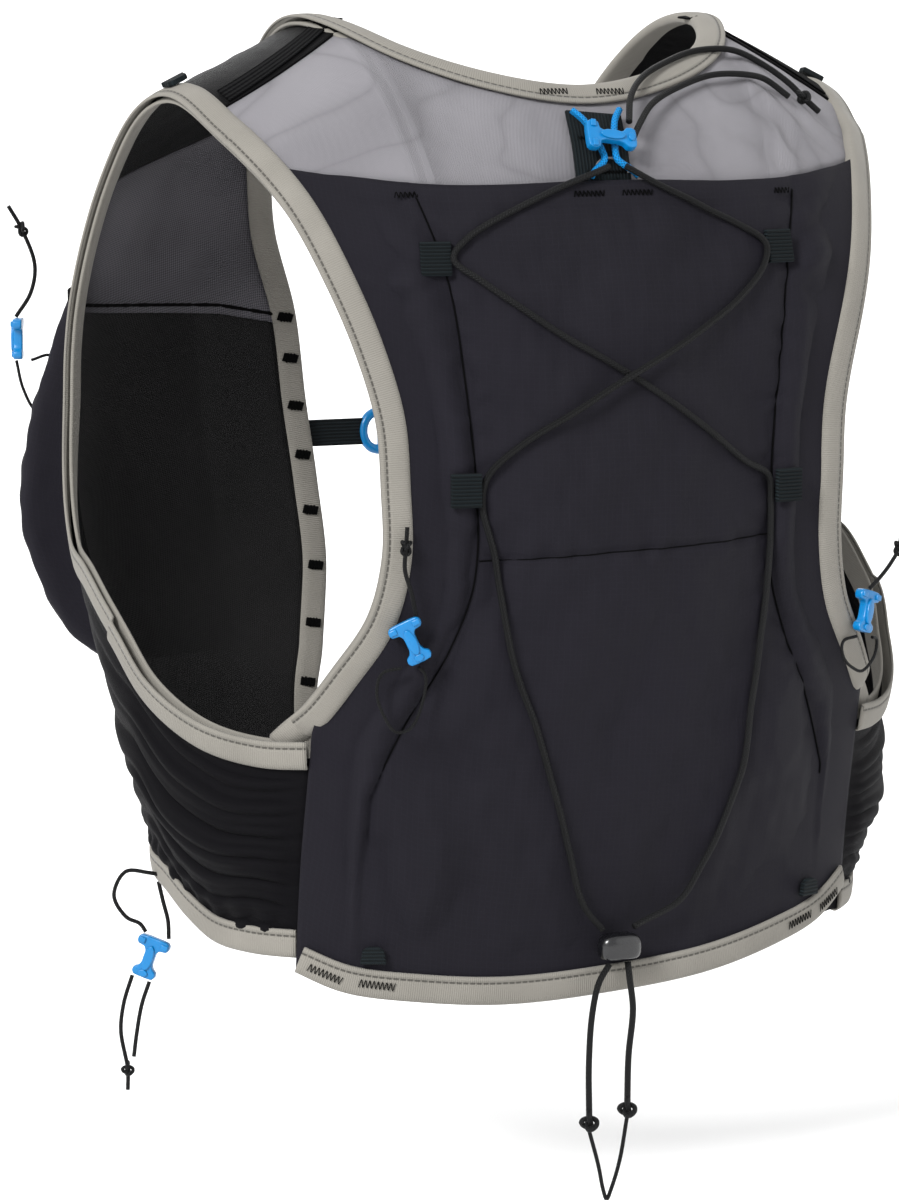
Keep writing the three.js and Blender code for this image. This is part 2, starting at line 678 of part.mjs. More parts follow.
function armholeBinding(name, hand) {
  const backRows = ARMHOLE_BACK.filter((row) => row.down > 0 && row.down < ARMHOLE_BACK_END).reverse();
  const line = backRows.map((row) => on(hand * across(row.across), down(row.down), 1));
  line.push(on(hand * across(ARMHOLE_RIDGE), 0, 1));
  for (const share of ARMHOLE_FRONT) line.push(around(hand * FRONT_TURN, down(share)));
  for (const row of WING_TOP.slice(0, -1).reverse()) line.push(around(hand * row.turn, down(row.down)));
  const look = { steps: 56, width: BINDING_WIDTH, inset: -hand * ARMHOLE_INSET, thickness: TAPE };
  const lift = (p) => (p.y > 0 ? mix(OVER_PANEL, OVER_POCKET, pocketReach(p)) : OVER_PANEL);
  add("armhole_binding_" + name, tape({ line, lift, ...look }), "binding");
}

const HEM_STATIONS = [0.69, 0.6, 0.45, 0.25, 0]; // shares of CHEST_HALF_WIDTH

function hemBindings() {
  const shares = [...HEM_STATIONS, ...HEM_STATIONS.slice(0, -1).reverse().map((share) => -share)];
  const line = shares.map((share) => on(across(share), hemDown(across(share)), 1));
  const look = { width: BINDING_WIDTH, inset: -BINDING_INSET, thickness: TAPE };
  add("back_hem_binding", tape({ line, steps: 30, lift: () => OVER_POCKET, ...look }), "binding");
  for (const [name, hand] of SIDES) {
    const foot = down(WING_HEM.at(-1).down);
    const lastTurn = turnOf(frontEdgeX(foot) + BINDING_WIDTH + 1, foot, -1);
    const side = [];
    side.push(around(hand * WING_HEM_START, wingHemDown(WING_HEM_START)));
    for (const row of WING_HEM.slice(1, -1)) side.push(around(hand * row.turn, down(row.down)));
    side.push(around(hand * lastTurn, foot));
    const sideLook = { ...look, inset: hand * BINDING_INSET };
    const geometry = tape({ line: side, steps: 26, lift: () => OVER_PANEL, ...sideLook });
    add("wing_hem_binding_" + name, geometry, "binding");
  }
}

// Webbing hanger down from the neck, and the hook and coloured cords that lie on it
const HANGER_LIFT = OVER_PANEL + LAYER_GAP;
const ON_HANGER = HANGER_LIFT + HANGER_THICKNESS + LAYER_GAP;
const HOOK_DOWN = 0.131;
const HOOK_LIFT = ON_HANGER + HANGER_CORD + LAYER_GAP + HOOK.thickness / 2;
const HOOK_OUTLINE = hookOutline();

// A hook seen from the front: a bar across the top of a narrower body with a notch in each side.
function hookOutline() {
  const w = HOOK.width / 2;
  const t = HOOK.height / 2;
  const s = HOOK.stem / 2;
  const foot = [[s, -t], [w, -t], [w, -t + HOOK.bar], [s, -t + HOOK.bar]];
  const half = [...foot, [s, t - HOOK.bar], [w, t - HOOK.bar], [w, t]];
  return [...half, ...half.map(([x, y]) => [-x, y]).reverse()];
}

function hook(name, place, up, out) {
  add(name, stood(outlineSlab(HOOK_OUTLINE, HOOK.thickness), place, up, out), "accent");
}

const backPlace = (x, h, lift) => lifted(on(x, h, 1), lift);
const UP = new THREE.Vector3(0, 0, 1);
const SIDEWAYS = new THREE.Vector3(1, 0, 0);

// The coloured cords draw together at the hook: x in millimetres, and the share of the way down.
const HANGER_WAIST = [[11, 0], [7, 0.16], [3, 0.59], [3, 0.71], [9, 0.88], [11, 0.96]];

function hanger() {
  const top = down(NECK_EDGE[0].down) + BINDING_INSET + BINDING_WIDTH / 2 + SEAM_GAP;
  const foot = down(MOUTH[0].down) - SEAM_GAP;
  const line = [0, 0.5, 1].map((t) => on(0, mix(top, foot, t), 1));
  const look = { steps: 4, width: HANGER_WIDTH, inset: 0, thickness: HANGER_THICKNESS };
  add("hanger_webbing", tape({ line, lift: () => HANGER_LIFT, ...look }), "webbing");
  const lift = ON_HANGER + HANGER_CORD / 2;
  for (const [name, hand] of SIDES) {
    const points = HANGER_WAIST.map(([x, t]) => backPlace(hand * x, mix(top + SEAM_GAP, foot, t), lift));
    add("hanger_cord_" + name, cord(points, HANGER_CORD), "accent");
  }
  const place = backPlace(0, down(HOOK_DOWN), HOOK_LIFT);
  hook("top_cord_hook", place, SIDEWAYS, outward(on(0, down(HOOK_DOWN), 1)));
}

// Lacing over the back pocket. Each row is a place that one strand passes, chosen by eye.
const CORD_LIFT = CORD / 2 + LAYER_GAP;
const LACE_FROM = 0.157;
const LACES = {
  left: [
    [0.02, LACE_FROM], [0.184, 0.18], [0.376, 0.219], [0.41, 0.238], [0.355, 0.26], [0.2, 0.307],
    [0.024, 0.354], [-0.139, 0.403], [-0.275, 0.447], [-0.345, 0.464], [-0.36, 0.49], [-0.354, 0.553],
    [-0.337, 0.636], [-0.32, 0.699], [-0.305, 0.763], [-0.275, 0.801], [-0.222, 0.86], [-0.158, 0.905],
    [-0.045, 0.929],
  ],
  right: [
    [-0.02, LACE_FROM], [-0.09, 0.172], [-0.28, 0.21], [-0.355, 0.231], [-0.345, 0.25], [-0.265, 0.283],
    [-0.116, 0.321], [0.024, 0.354], [0.16, 0.39], [0.275, 0.421], [0.346, 0.45], [0.36, 0.481],
    [0.33, 0.533], [0.289, 0.632], [0.222, 0.709], [0.162, 0.79], [0.128, 0.84], [0.085, 0.901],
    [0.035, 0.929],
  ],
};
// Where the right strand passes over the left, and how far it rises near the hook, as shares of
// VEST_LENGTH down and millimetres
const LACE_CROSSING = { down: 0.354, reach: 0.06 };
const LACE_HOOK = { reach: 0.02, rise: 1.5 };
const LACE_LOCK = { from: 0.88, to: 0.925 }; // where both rise to the lock's middle
// Webbing tabs that turn the lacing: place, and height over the pocket under the tab's middle
const TAB_PLACES = {
  upper_left: [0.452, 0.237, 0.2],
  upper_right: [-0.399, 0.233, 0.5],
  lower_left: [0.403, 0.466, 1.2],
  lower_right: [-0.402, 0.475, 1.2],
};

function lacing() {
  for (const [name, rows] of Object.entries(LACES)) {
    const points = rows.map(([a, d]) => {
      const nearCrossing = Math.max(0, 1 - Math.abs(d - LACE_CROSSING.down) / LACE_CROSSING.reach);
      const hump = name === "right" ? (CORD + LAYER_GAP) * nearCrossing : 0;
      const hookRise = LACE_HOOK.rise * Math.max(0, 1 - (d - LACE_FROM) / LACE_HOOK.reach);
      const nearLock = THREE.MathUtils.smoothstep(d, LACE_LOCK.from, LACE_LOCK.to);
      const lockRise = nearLock * (TOGGLE.thickness / 2 - CORD / 2);
      return overPocket(a, d, CORD_LIFT + hump + hookRise + lockRise);
    });
    add("lacing_cord_" + name, cord(points, CORD, 4 * CORD), "cord");
  }
  for (const [name, [a, d, rise]] of Object.entries(TAB_PLACES)) {
    const w = TAB.width / 2;
    const h = TAB.height / 2;
    const slab = outlineSlab([[-w, -h], [w, -h], [w, h], [-w, h]], TAB.thickness);
    const place = overPocket(a, d, TAB.thickness / 2 + rise);
    add("cord_tab_" + name, stood(slab, place, UP, outward(on(across(a), down(d), 1))), "webbing");
  }
}

// Doubled tail of the lacing cord, lying on the yoke and knotted at its end
// across, down, and the cord's height over the form in millimetres: down from the hook's middle,
// over the neck's binding and on to the yoke
const TOP_TAIL = [
  [-0.0575, 0.117, HOOK_LIFT], [-0.09, 0.092, 9], [-0.15, 0.07, 6.6], [-0.244, 0.052, 4.9],
  [-0.349, 0.041, 4.9], [-0.446, 0.041, 4.7], [-0.524, 0.046, 3.6], [-0.577, 0.055, 4],
  [-0.6, 0.066, 4.4],
];
const TOP_TAIL_END = [-0.64, 0.074, 4];
// The lower strand lies this share of VEST_LENGTH below the upper, less at its start and at its end.
const TAIL_SPACING = { start: 0.014, middle: 0.024, end: 0.019 };
const TAIL_TURN = 5; // after this row the lower strand also draws inward
const TAIL_DRAW = 0.03; // by this share of CHEST_HALF_WIDTH

function topTail() {
  const place = ([a, d, lift]) => backPlace(across(a), down(d), lift);
  const upper = TOP_TAIL.map(place);
  const end = place(TOP_TAIL_END);
  const knotAt = upper.at(-1);
  const tail = [cord([...upper, end], CORD), knot(knotAt, end.clone().sub(knotAt))];
  add("top_tail_upper", joined(tail), "cord");
  const lower = TOP_TAIL.slice(0, -1).map(([a, d, lift], i) => {
    if (i === 0) return place([a, d + TAIL_SPACING.start, lift]);
    if (i > TAIL_TURN) return place([a + TAIL_DRAW, d + TAIL_SPACING.end, lift]);
    return place([a, d + TAIL_SPACING.middle, lift]);
  });
  add("top_tail_lower", cord(lower, CORD), "cord");
}

// Domed cord lock at the hem, the two tails below it and the loop that pulls them
const TOGGLE_DOWN = 0.948;
const DOME = [[-1, -1], [1, -1], [1, 0.2], [0.72, 0.8], [0.25, 1], [-0.25, 1], [-0.72, 0.8], [-1, 0.2]];
// Places below the lock's middle: x, y, and the drop, in millimetres
const KNOT_DROP = 72;
const TAIL_START = TOGGLE.height / 2 + LAYER_GAP;
const BOTTOM_TAILS = {
  left: [[5, 0.5, TAIL_START + 0.5], [11, 3, 14], [15, 5, 26], [16.5, 5, 46], [16.3, 5, KNOT_DROP]],
  right: [[-4, 0, TAIL_START], [-4, 2, 14], [-4.5, 4, 26], [-2.5, 4, 46], [-2, 4, KNOT_DROP - 4]],
};
const PULL_LOOP = [[12, 5, 91], [9.6, 5, 102], [8, 5, 106], [6, 5, 102], [2, 5, 90]];

function bottomTails() {
  const place = overPocket(-0.005, TOGGLE_DOWN, TOGGLE.thickness / 2 + 3 * LAYER_GAP);
  const dome = DOME.map(([x, y]) => [(x * TOGGLE.width) / 2, (y * TOGGLE.height) / 2]);
  const slab = outlineSlab(dome, TOGGLE.thickness);
  add("bottom_cord_lock", stood(slab, place, UP, new THREE.Vector3(0, 1, 0)), "toggle");
  const hang = (x, y, z) => new THREE.Vector3(place.x + x, place.y + y, place.z - z);
  const ends = {};
  for (const [name, rows] of Object.entries(BOTTOM_TAILS)) {
    const points = rows.map((row) => hang(...row));
    const end = points.at(-1);
    const along = end.clone().sub(points.at(-2));
    ends[name] = end.clone().addScaledVector(along.normalize(), KNOT_LENGTH / 2 + LAYER_GAP);
    add("bottom_tail_" + name, joined([cord(points, CORD), knot(end, along)]), "cord");
  }
  const loop = [ends.left, ...PULL_LOOP.map((row) => hang(...row)), ends.right];
  add("pull_loop", cord(loop, THIN_CORD), "cord");
}

// Flat webbing loops at the shoulders and at the hem
const HEM_LOOP_ACROSS = 0.545;
const HEM_LOOP_CLEARANCE = { left: 1.5, right: 2 }; // millimetres over the hem's binding
function webbingLoops() {
  const w = LOOP.width / 2;
  const h = LOOP.height / 2;
  const outline = [[-w, -h], [w, -h], [w, h], [-w, h]];
  for (const [name, hand] of SIDES) {
    const ridge = on(hand * (across(ARMHOLE_RIDGE) - 1), 0, 1);
    const top = lifted(ridge, OVER_PANEL + TAPE + LAYER_GAP + LOOP.thickness / 2);
    const out = outward(ridge);
    const shoulderLoop = stood(outlineSlab(outline, LOOP.thickness), top, UP.clone().cross(out), out);
    add("shoulder_loop_" + name, shoulderLoop, "webbing");
    const x = hand * across(HEM_LOOP_ACROSS);
    const drop = hemDown(x) - BINDING_INSET - BINDING_WIDTH / 2 - h - HEM_LOOP_CLEARANCE[name];
    const spot = backPlace(x, drop, OVER_POCKET + LOOP.thickness / 2 + LAYER_GAP);
    const hemLoop = stood(outlineSlab(outline, LOOP.thickness), spot, UP, outward(on(x, drop, 1)));
    add("hem_loop_" + name, hemLoop, "webbing");
  }
}

// Chest strap: a short webbing from each front edge to a clip near the left one
const STERNUM_DOWN = 0.459;
const STERNUM_TUCK = 10.5; // from the front edge in to where each webbing starts
const CLIP_CORNER = { across: 0.7, along: 0.6 }; // shares of the clip's half sides
function sternumStrap() {
  const h = down(STERNUM_DOWN);
  const lift = OVER_PANEL + TAPE + LAYER_GAP;
  const root = frontEdgeX(h) + STERNUM_TUCK;
  const clipX = STERNUM.end - SEAM_GAP - CLIP.width / 2;
  const runs = { left: [root, STERNUM.end], right: [-root, clipX - CLIP.width / 2 - SEAM_GAP] };
  for (const [name, [a, b]] of Object.entries(runs)) {
    const line = [0, 0.25, 0.5, 0.75, 1].map((t) => on(mix(a, b, t), h, -1));
    const look = { steps: 8, width: STERNUM.width, inset: 0, thickness: STERNUM.thickness };
    add("sternum_strap_" + name, tape({ line, lift: () => lift, ...look }), "webbing");
  }
  const w = CLIP.width / 2;
  const l = CLIP.length / 2;
  const x = CLIP_CORNER.across * w;
  const y = CLIP_CORNER.along * l;
  const outline = [[-w, -y], [-x, -l], [x, -l], [w, -y], [w, y], [x, l], [-x, l], [-w, y]];
  const seat = on(clipX, h, -1);
  const middle = lifted(seat, lift + STERNUM.thickness / 2);
  add("sternum_clip", stood(outlineSlab(outline, CLIP.thickness), middle, UP, outward(seat)), "accent");
}

// Small hook adjusters: a knotted tail, a hook and a thin loop. Offsets are from the hook's middle,
// [x, y, z], chosen by eye.
const HALF_HOOK = HOOK.height / 2 + LAYER_GAP;
const BELOW_HOOK = HALF_HOOK + 1;
const ADJUSTERS = {
  armhole_left: {
    at: [96.2, 116.8, -250], up: [0, 0, 1], out: [0.45, 0.9, 0],
    tail: [[-2, 0, HALF_HOOK], [1, 2, 20], [4, 2, 30], [3, 1, 39], [2, 0, 47]],
    loop: [[-3, 0, -BELOW_HOOK], [-6, 0, -14], [-5, -1, -26], [0, -2, -36], [6, -3, -37], [10, -5, -31],
      [13, -6, -21], [11, -5, -13], [4, -1, -BELOW_HOOK]],
  },
  armhole_right: {
    at: [-121.4, 105.9, -250], up: [-0.3, 0, 1], out: [-0.45, 0.9, 0],
    tail: [[-2, 0, HALF_HOOK], [-7, 0, 14], [-13, -1, 20], [-18, -3, 26], [-19.5, -4, 32]],
    loop: [[4, 0, -BELOW_HOOK], [10, 0, -12], [13, 3, -15], [11, 2, -20], [6, 0, -24], [0, -2, -26],
      [-7, -4, -20], [-8, -4, -13], [-4, -1, -BELOW_HOOK - 1]],
  },
  front_left: {
    at: [179, -116.6, -139], up: [0, 0, 1], out: [0.9, -0.42, 0],
    tail: [[1, 0, HALF_HOOK], [-6, 0, 20], [-8, 0, 32], [-2, 0, 48], [4, 0, 58]],
    loop: [[1, 0, -HALF_HOOK], [-2, 0, -22], [-8, 0, -32], [-15, 0, -32], [-19, 0, -20], [-15, 0, -8],
      [-6, 0, -HALF_HOOK]],
  },
};

function adjusters() {
  for (const [name, { at, up, out, tail, loop }] of Object.entries(ADJUSTERS)) {
    const middle = new THREE.Vector3(...at);
    hook("cord_hook_" + name, middle.clone(), new THREE.Vector3(...up), new THREE.Vector3(...out));
    const near = ([x, y, z]) => middle.clone().add(new THREE.Vector3(x, y, z));
    const line = tail.map(near);
    const knotAt = line.at(-2);
    const end = line.at(-1);
    add("tail_" + name, joined([cord(line, THIN_CORD), knot(knotAt, end.clone().sub(knotAt))]), "cord");
    add("loop_" + name, cord(loop.map(near), THIN_CORD), "cord");
  }
}

// Adjuster hanging from the left wing's hem
const HEM_HOOK = { at: [164, -4, -396], up: [-0.45, 0, 1], out: [0.6, 0.8, 0] };
const HEM_TETHER = [
  [0, 0, 36], [9, -4, 37], [14, -5, 27], [9, -3.5, 17.5], [3.5, -1.8, 14.5], [1.2, -0.9, 11],
];
const HEM_RISER = [[-6, -4, 31.5], [-8, -4, 23], [-9, -1, 15], [-7.8, 2.8, 7.9]];
const HEM_TAILS = {
  front: [[7, -2.2, -7.5], [11, -2, -19], [12.5, -2, -31], [9.5, -2, -48], [9.5, -2, -57]],
  rear: [[1, 2.2, -10.1], [4.5, 2, -20], [7, 2, -33], [8, 1.5, -42]],
};

function hemAdjuster() {
  const middle = new THREE.Vector3(...HEM_HOOK.at);
  const up = new THREE.Vector3(...HEM_HOOK.up);
  hook("cord_hook_hem_left", middle.clone(), up, new THREE.Vector3(...HEM_HOOK.out));
  const near = ([x, y, z]) => middle.clone().add(new THREE.Vector3(x, y, z));
  add("tether_hem_left", cord(HEM_TETHER.map(near), THIN_CORD), "cord");
  add("riser_hem_left", cord(HEM_RISER.map(near), THIN_CORD), "cord");
  const front = HEM_TAILS.front.map(near);
  const drop = front.at(-1).clone().sub(front.at(-2));
  add("tail_hem_left_front", joined([cord(front, THIN_CORD), knot(front.at(-2), drop)]), "cord");
  add("tail_hem_left_rear", cord(HEM_TAILS.rear.map(near), THIN_CORD), "cord");
}

yoke();
back();
for (const [name, hand] of SIDES) {
  shoulderPanel("shoulder_panel_" + name, hand);
  frontPanels(name, hand);
  frontPocket(name, hand);
  wing(name, hand);
  armholeBinding(name, hand);
}
neckBinding();
hemBindings();
hanger();
lacing();
topTail();
bottomTails();
webbingLoops();
sternumStrap();
adjusters();
hemAdjuster();

export default vest;
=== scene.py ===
import math

import bmesh
import bpy
import numpy as np
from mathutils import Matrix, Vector
from numpy import array, clip, concatenate, cos, cross, cumsum, diff, exp, linspace, maximum, meshgrid
from numpy import minimum, pad, sin, sqrt, stack, where


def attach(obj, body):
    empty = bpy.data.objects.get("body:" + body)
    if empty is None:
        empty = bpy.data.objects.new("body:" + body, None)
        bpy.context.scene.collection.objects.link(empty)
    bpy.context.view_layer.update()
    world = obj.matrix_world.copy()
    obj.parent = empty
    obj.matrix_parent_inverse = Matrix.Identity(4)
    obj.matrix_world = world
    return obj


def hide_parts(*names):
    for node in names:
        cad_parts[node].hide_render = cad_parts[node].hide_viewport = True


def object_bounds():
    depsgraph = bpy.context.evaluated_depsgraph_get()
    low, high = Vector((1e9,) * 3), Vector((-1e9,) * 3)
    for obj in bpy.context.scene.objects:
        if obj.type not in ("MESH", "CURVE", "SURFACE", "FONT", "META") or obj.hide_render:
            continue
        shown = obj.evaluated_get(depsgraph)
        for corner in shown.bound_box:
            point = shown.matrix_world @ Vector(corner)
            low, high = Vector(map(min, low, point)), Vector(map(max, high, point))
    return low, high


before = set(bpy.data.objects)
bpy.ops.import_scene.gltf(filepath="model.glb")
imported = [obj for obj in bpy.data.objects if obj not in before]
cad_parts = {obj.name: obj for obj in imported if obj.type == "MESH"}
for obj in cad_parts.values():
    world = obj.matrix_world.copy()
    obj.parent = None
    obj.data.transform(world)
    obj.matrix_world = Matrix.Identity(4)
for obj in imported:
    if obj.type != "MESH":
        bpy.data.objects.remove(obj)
cad_box = [[float(c) for c in corner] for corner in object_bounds()]
MM = 0.001



def placed(name, data):
    thing = bpy.data.objects.new(name, data)
    bpy.context.collection.objects.link(thing)
    return thing


def faced(thing, toward):
    thing.rotation_euler = Vector(toward).to_track_quat("-Z", "Y").to_euler()


def sun(name, toward, strength, angle):
    data = bpy.data.lights.new(name, "SUN")
    data.energy = strength
    data.angle = math.radians(angle)
    faced(placed(name, data), toward)


# Camera and light
CAMERA_AT, CAMERA_AIM = (.95607, 1.99699, .02104), (.03324, .01797, -.24707)
camera_data = bpy.data.cameras.new("camera")
camera_data.lens = 153.78
camera_data.sensor_width = 36
camera_data.clip_end = 1000
camera = placed("camera", camera_data)
camera.location = CAMERA_AT
faced(camera, Vector(CAMERA_AIM) - Vector(CAMERA_AT))
bpy.context.scene.camera = camera
sun("key", (-.85, -.5, -.65), 4.2, 20)
sun("fill", (.75, -.7, -.35), .6, 60)
sun("front", (.1, .9, -.6), .8, 60)
world = bpy.data.worlds.new("world")
world.use_nodes = True
sky = world.node_tree.nodes["Background"].inputs
sky["Color"].default_value = (1, 1, 1, 1)
sky["Strength"].default_value = .93
bpy.context.scene.world = world
bpy.context.scene.view_settings.view_transform = "Standard"

# The form of the wearer, in millimetres, from the same sizes as the solids
LENGTH, CHEST, BACK, FRONT = 405.0, 184.0, 120.0, 112.0
ROUND_BACK, ROUND_FRONT, SLOPE, SLOPE_START, SLOPE_END = 130.0, 150.0, .47, 88.0, 170.0
FABRIC, LAYER_GAP, SEAM_GAP = 1.2, .6, .5
BINDING_WIDTH, BINDING_INSET, ARMHOLE_INSET = 12.5, 5.0, 2.0
CORD, THIN_CORD, HANGER_CORD = 2.8, 1.8, 3.0
BACK_PUFF, FRONT_PUFF, POCKET_SETBACK = 9.0, 31.0, 16.0
BACK_SQUARE = 2.5
TAPE = 1.25
CORD_STEP = .9
SIDES = (("left", 1), ("right", -1))

# Down the length: half width, depth at the back and at the front, and squareness at the front
TORSO = [
    (0, .913, .983, 1, 3.3), (.15, .967, .983, 1, 3.3), (.3, 1, .983, 1, 3.3), (.5, 1, 1, 1, 3.3),
    (.62, .978, .972, .93, 2.8), (.74, .918, .919, .77, 2.1), (.86, .864, .872, .7, 2.1),
    (1.04, .826, .833, .66, 2.1),
]
HALF, BACK_DEEP, FRONT_DEEP, SQUARE = ([(row[0], row[k]) for row in TORSO] for k in (1, 2, 3, 4))
# The outlines: shares of the length down and of the half width across, or the turn and the share down
NECK_EDGE = [(0, .069), (.223, .054), (.375, .029), (.449, .006)]
NECK_RIDGE = .467
FRONT_EDGE = [(0, .467), (.035, .452), (.168, .38), (.23, .348), (.321, .277), (.42, .245), (.511, .217),
              (.6, .207), (.689, .25), (.743, .29), (.877, .31)]
ARMHOLE_RIDGE = .815
ARMHOLE_BACK = [(0, .815), (.054, .774), (.148, .696), (.24, .636), (.321, .582), (.394, .543),
                (.464, .533), (.536, .53), (.602, .56), (.66, .632), (.7, .685), (.741, .69), (1, .69)]
ARMHOLE_BACK_END = .705
SHOULDER_BACK = [(.449, .009), (.79, .03)]
SHOULDER_FRONT = .11
MOUTH = [(0, .167), (.45, .164), (.62, .135), (.76, .1)]
BACK_HEM = [(0, .998), (.3, .993), (.5, .977), (.62, .963), (.72, .935)]
HEM_TILT = .03
SIDE_SEAM = .69
FRONT_TURN = 126.0
ARMHOLE_FRONT = (.06, .13, .22, .32, .42)
WING_TOP = [(45, .742), (53, .741), (65, .725), (79, .683), (87, .64), (95, .612), (104, .583),
            (116, .558), (126, .455)]
WING_HEM = [(44, .951), (60, .949), (69, .943), (78, .925), (90, .9), (126, .88), (162, .877)]
POCKET_TOP, POCKET_FOOT, POCKET_INNER, POCKET_OUTER, OVERHANG = .27, .68, .36, .86, 8.0
FRONT_FULL = [(0, .36), (.3, .72), (.62, 1), (.85, .9), (.96, .55), (1, 0)]
BACK_FULL = [(0, .45), (.2, .95), (.55, 1), (.8, .72), (.95, 0)]
BACK_SEAM = [(.167, .475), (.25, .425), (.36, .39), (.466, .368), (.56, .37), (.63, .42), (.7, .5),
             (.78, .57)]
FLANK = .3
POCKET_BASE = FABRIC + LAYER_GAP
OVER_PANEL = FABRIC + LAYER_GAP
OVER_POCKET = POCKET_BASE + FABRIC + LAYER_GAP


def smooth(rows, at):
    """A smooth line through rows of place and value."""
    xs, ys = array(rows, float).T
    at = clip(at, xs[0], xs[-1])
    i = clip(np.searchsorted(xs, at, side="right") - 1, 0, len(xs) - 2)
    slopes = np.empty_like(ys)
    slopes[0] = (ys[1] - ys[0]) / (xs[1] - xs[0])
    slopes[-1] = (ys[-1] - ys[-2]) / (xs[-1] - xs[-2])
    slopes[1:-1] = (ys[2:] - ys[:-2]) / (xs[2:] - xs[:-2])
    span = xs[i + 1] - xs[i]
    t = (at - xs[i]) / span
    rise = t * t * (3 - 2 * t)
    bend = slopes[i] * span * t * (1 - t) ** 2 + slopes[i + 1] * span * t * t * (t - 1)
    return ys[i] * (1 - rise) + ys[i + 1] * rise + bend


def step(x, a, b):
    t = clip((x - a) / (b - a), 0, 1)
    return t * t * (3 - 2 * t)


def half(h):
    return CHEST * smooth(HALF, h / LENGTH)


def full(h, side):
    share = h / LENGTH
    return where(side > 0, BACK * smooth(BACK_DEEP, share), FRONT * smooth(FRONT_DEEP, share))


def round_of(side):
    return where(side > 0, ROUND_BACK, ROUND_FRONT)


def square(h, side):
    return where(side > 0, BACK_SQUARE, smooth(SQUARE, h / LENGTH))


def depth(h, side):
    above = maximum(0, 1 - h / round_of(side))
    return full(h, side) * sqrt(maximum(0, 1 - above ** 2))


def fall(x):
    return SLOPE * maximum(0, np.abs(x) - SLOPE_START)


def to_z(x, h):
    return -h - fall(x) * maximum(0, 1 - h / SLOPE_END)


def height(x, z):
    h = (-z - fall(x)) / (1 - fall(x) / SLOPE_END)
    return where(h < SLOPE_END, h, -z)


def crown(x, h, side):
    n = square(h, side)
    w = minimum(1, np.abs(x) / half(h))
    return (1 - w ** n) ** (1 / n)


def on(x, h, side):
    x, h, side = np.broadcast_arrays(np.asarray(x, float), np.asarray(h, float), np.asarray(side, float))
    return stack([x, side * depth(h, side) * crown(x, h, side), to_z(x, h)], -1)


def spot(a, d, side=1):
    """A place by its shares of the half width and of the length."""
    return on(CHEST * a, LENGTH * d, side)


def around(turn, h):
    turn, h = np.broadcast_arrays(np.asarray(turn, float), np.asarray(h, float))
    s, c = sin(np.radians(turn)), cos(np.radians(turn))
    side = where(c >= 0, 1.0, -1.0)
    n = square(h, side)
    reach = (np.abs(s) ** n + np.abs(c) ** n) ** (1 / n)
    x = half(h) * s / reach
    return stack([x, depth(h, side) * c / reach, to_z(x, h)], -1)


def turn_of(x, h, side):
    w = np.abs(x) / half(h)
    angle = np.degrees(np.arctan2(w, crown(x, h, side)))
    return np.sign(x) * where(np.asarray(side) > 0, angle, 180 - angle)


def level(p):
    x, y, z = p[..., 0], p[..., 1], p[..., 2]
    h = height(x, z)
    side = where(y >= 0, 1.0, -1.0)
    at = maximum(0, h)
    c = maximum(crown(x, at, side), 1e-6)
    low = (y / (full(at, side) * c)) ** 2 + (1 - h / round_of(side)) ** 2 - 1
    n = square(h, side)
    d = maximum(depth(maximum(h, 1), side), 1e-3)
    high = (np.abs(x) / half(h)) ** n + (np.abs(y) / d) ** n - 1
    return where(h < 25, low, high)


def gradient(p):
    g = np.empty_like(p)
    for k in range(3):
        d = np.zeros(3)
        d[k] = .05
        g[..., k] = (level(p + d) - level(p - d)) / .1
    return g


def unit(v):
    v = np.asarray(v, float)
    return v / maximum(np.linalg.norm(v, axis=-1, keepdims=True), 1e-9)


def normal(p):
    return unit(gradient(p))


def lifted(p, lift):
    return p + normal(p) * np.asarray(lift)[..., None]


def settle(p):
    p = p.copy()
    for _ in range(4):
        g = gradient(p)
        p -= g * (level(p) / (g ** 2).sum(-1))[..., None]
    return p


def neck_down(x):
    share = np.abs(x) / CHEST
    seam = smooth(SHOULDER_BACK, share)
    return LENGTH * where(share < NECK_EDGE[-1][0], smooth(NECK_EDGE, share), seam)


def mouth_down(x):
    return LENGTH * smooth(MOUTH, np.abs(x) / CHEST)


def hem_down(x):
    share = x / CHEST
    return LENGTH * (smooth(BACK_HEM, np.abs(share)) + HEM_TILT * share)


def armhole_x(h):
    return CHEST * smooth(ARMHOLE_BACK, h / LENGTH)


def front_edge_x(h):
    return CHEST * smooth(FRONT_EDGE, h / LENGTH)


def seam_x(h):
    return CHEST * smooth(BACK_SEAM, h / LENGTH)


def mix(a, b, t):
    return a + (b - a) * t


def bell(t):
    return sin(math.pi * t)


def edge_x(v, top=mouth_down, foot=hem_down):
    """Where a row between two outlines meets the armhole's edge."""
    x = np.full(np.shape(v), CHEST * SIDE_SEAM)
    for _ in range(6):
        x = armhole_x(mix(top(x), foot(x), v))
    return x


def run_along(line):
    return concatenate([[0], cumsum(np.linalg.norm(diff(line, axis=0), axis=1))])


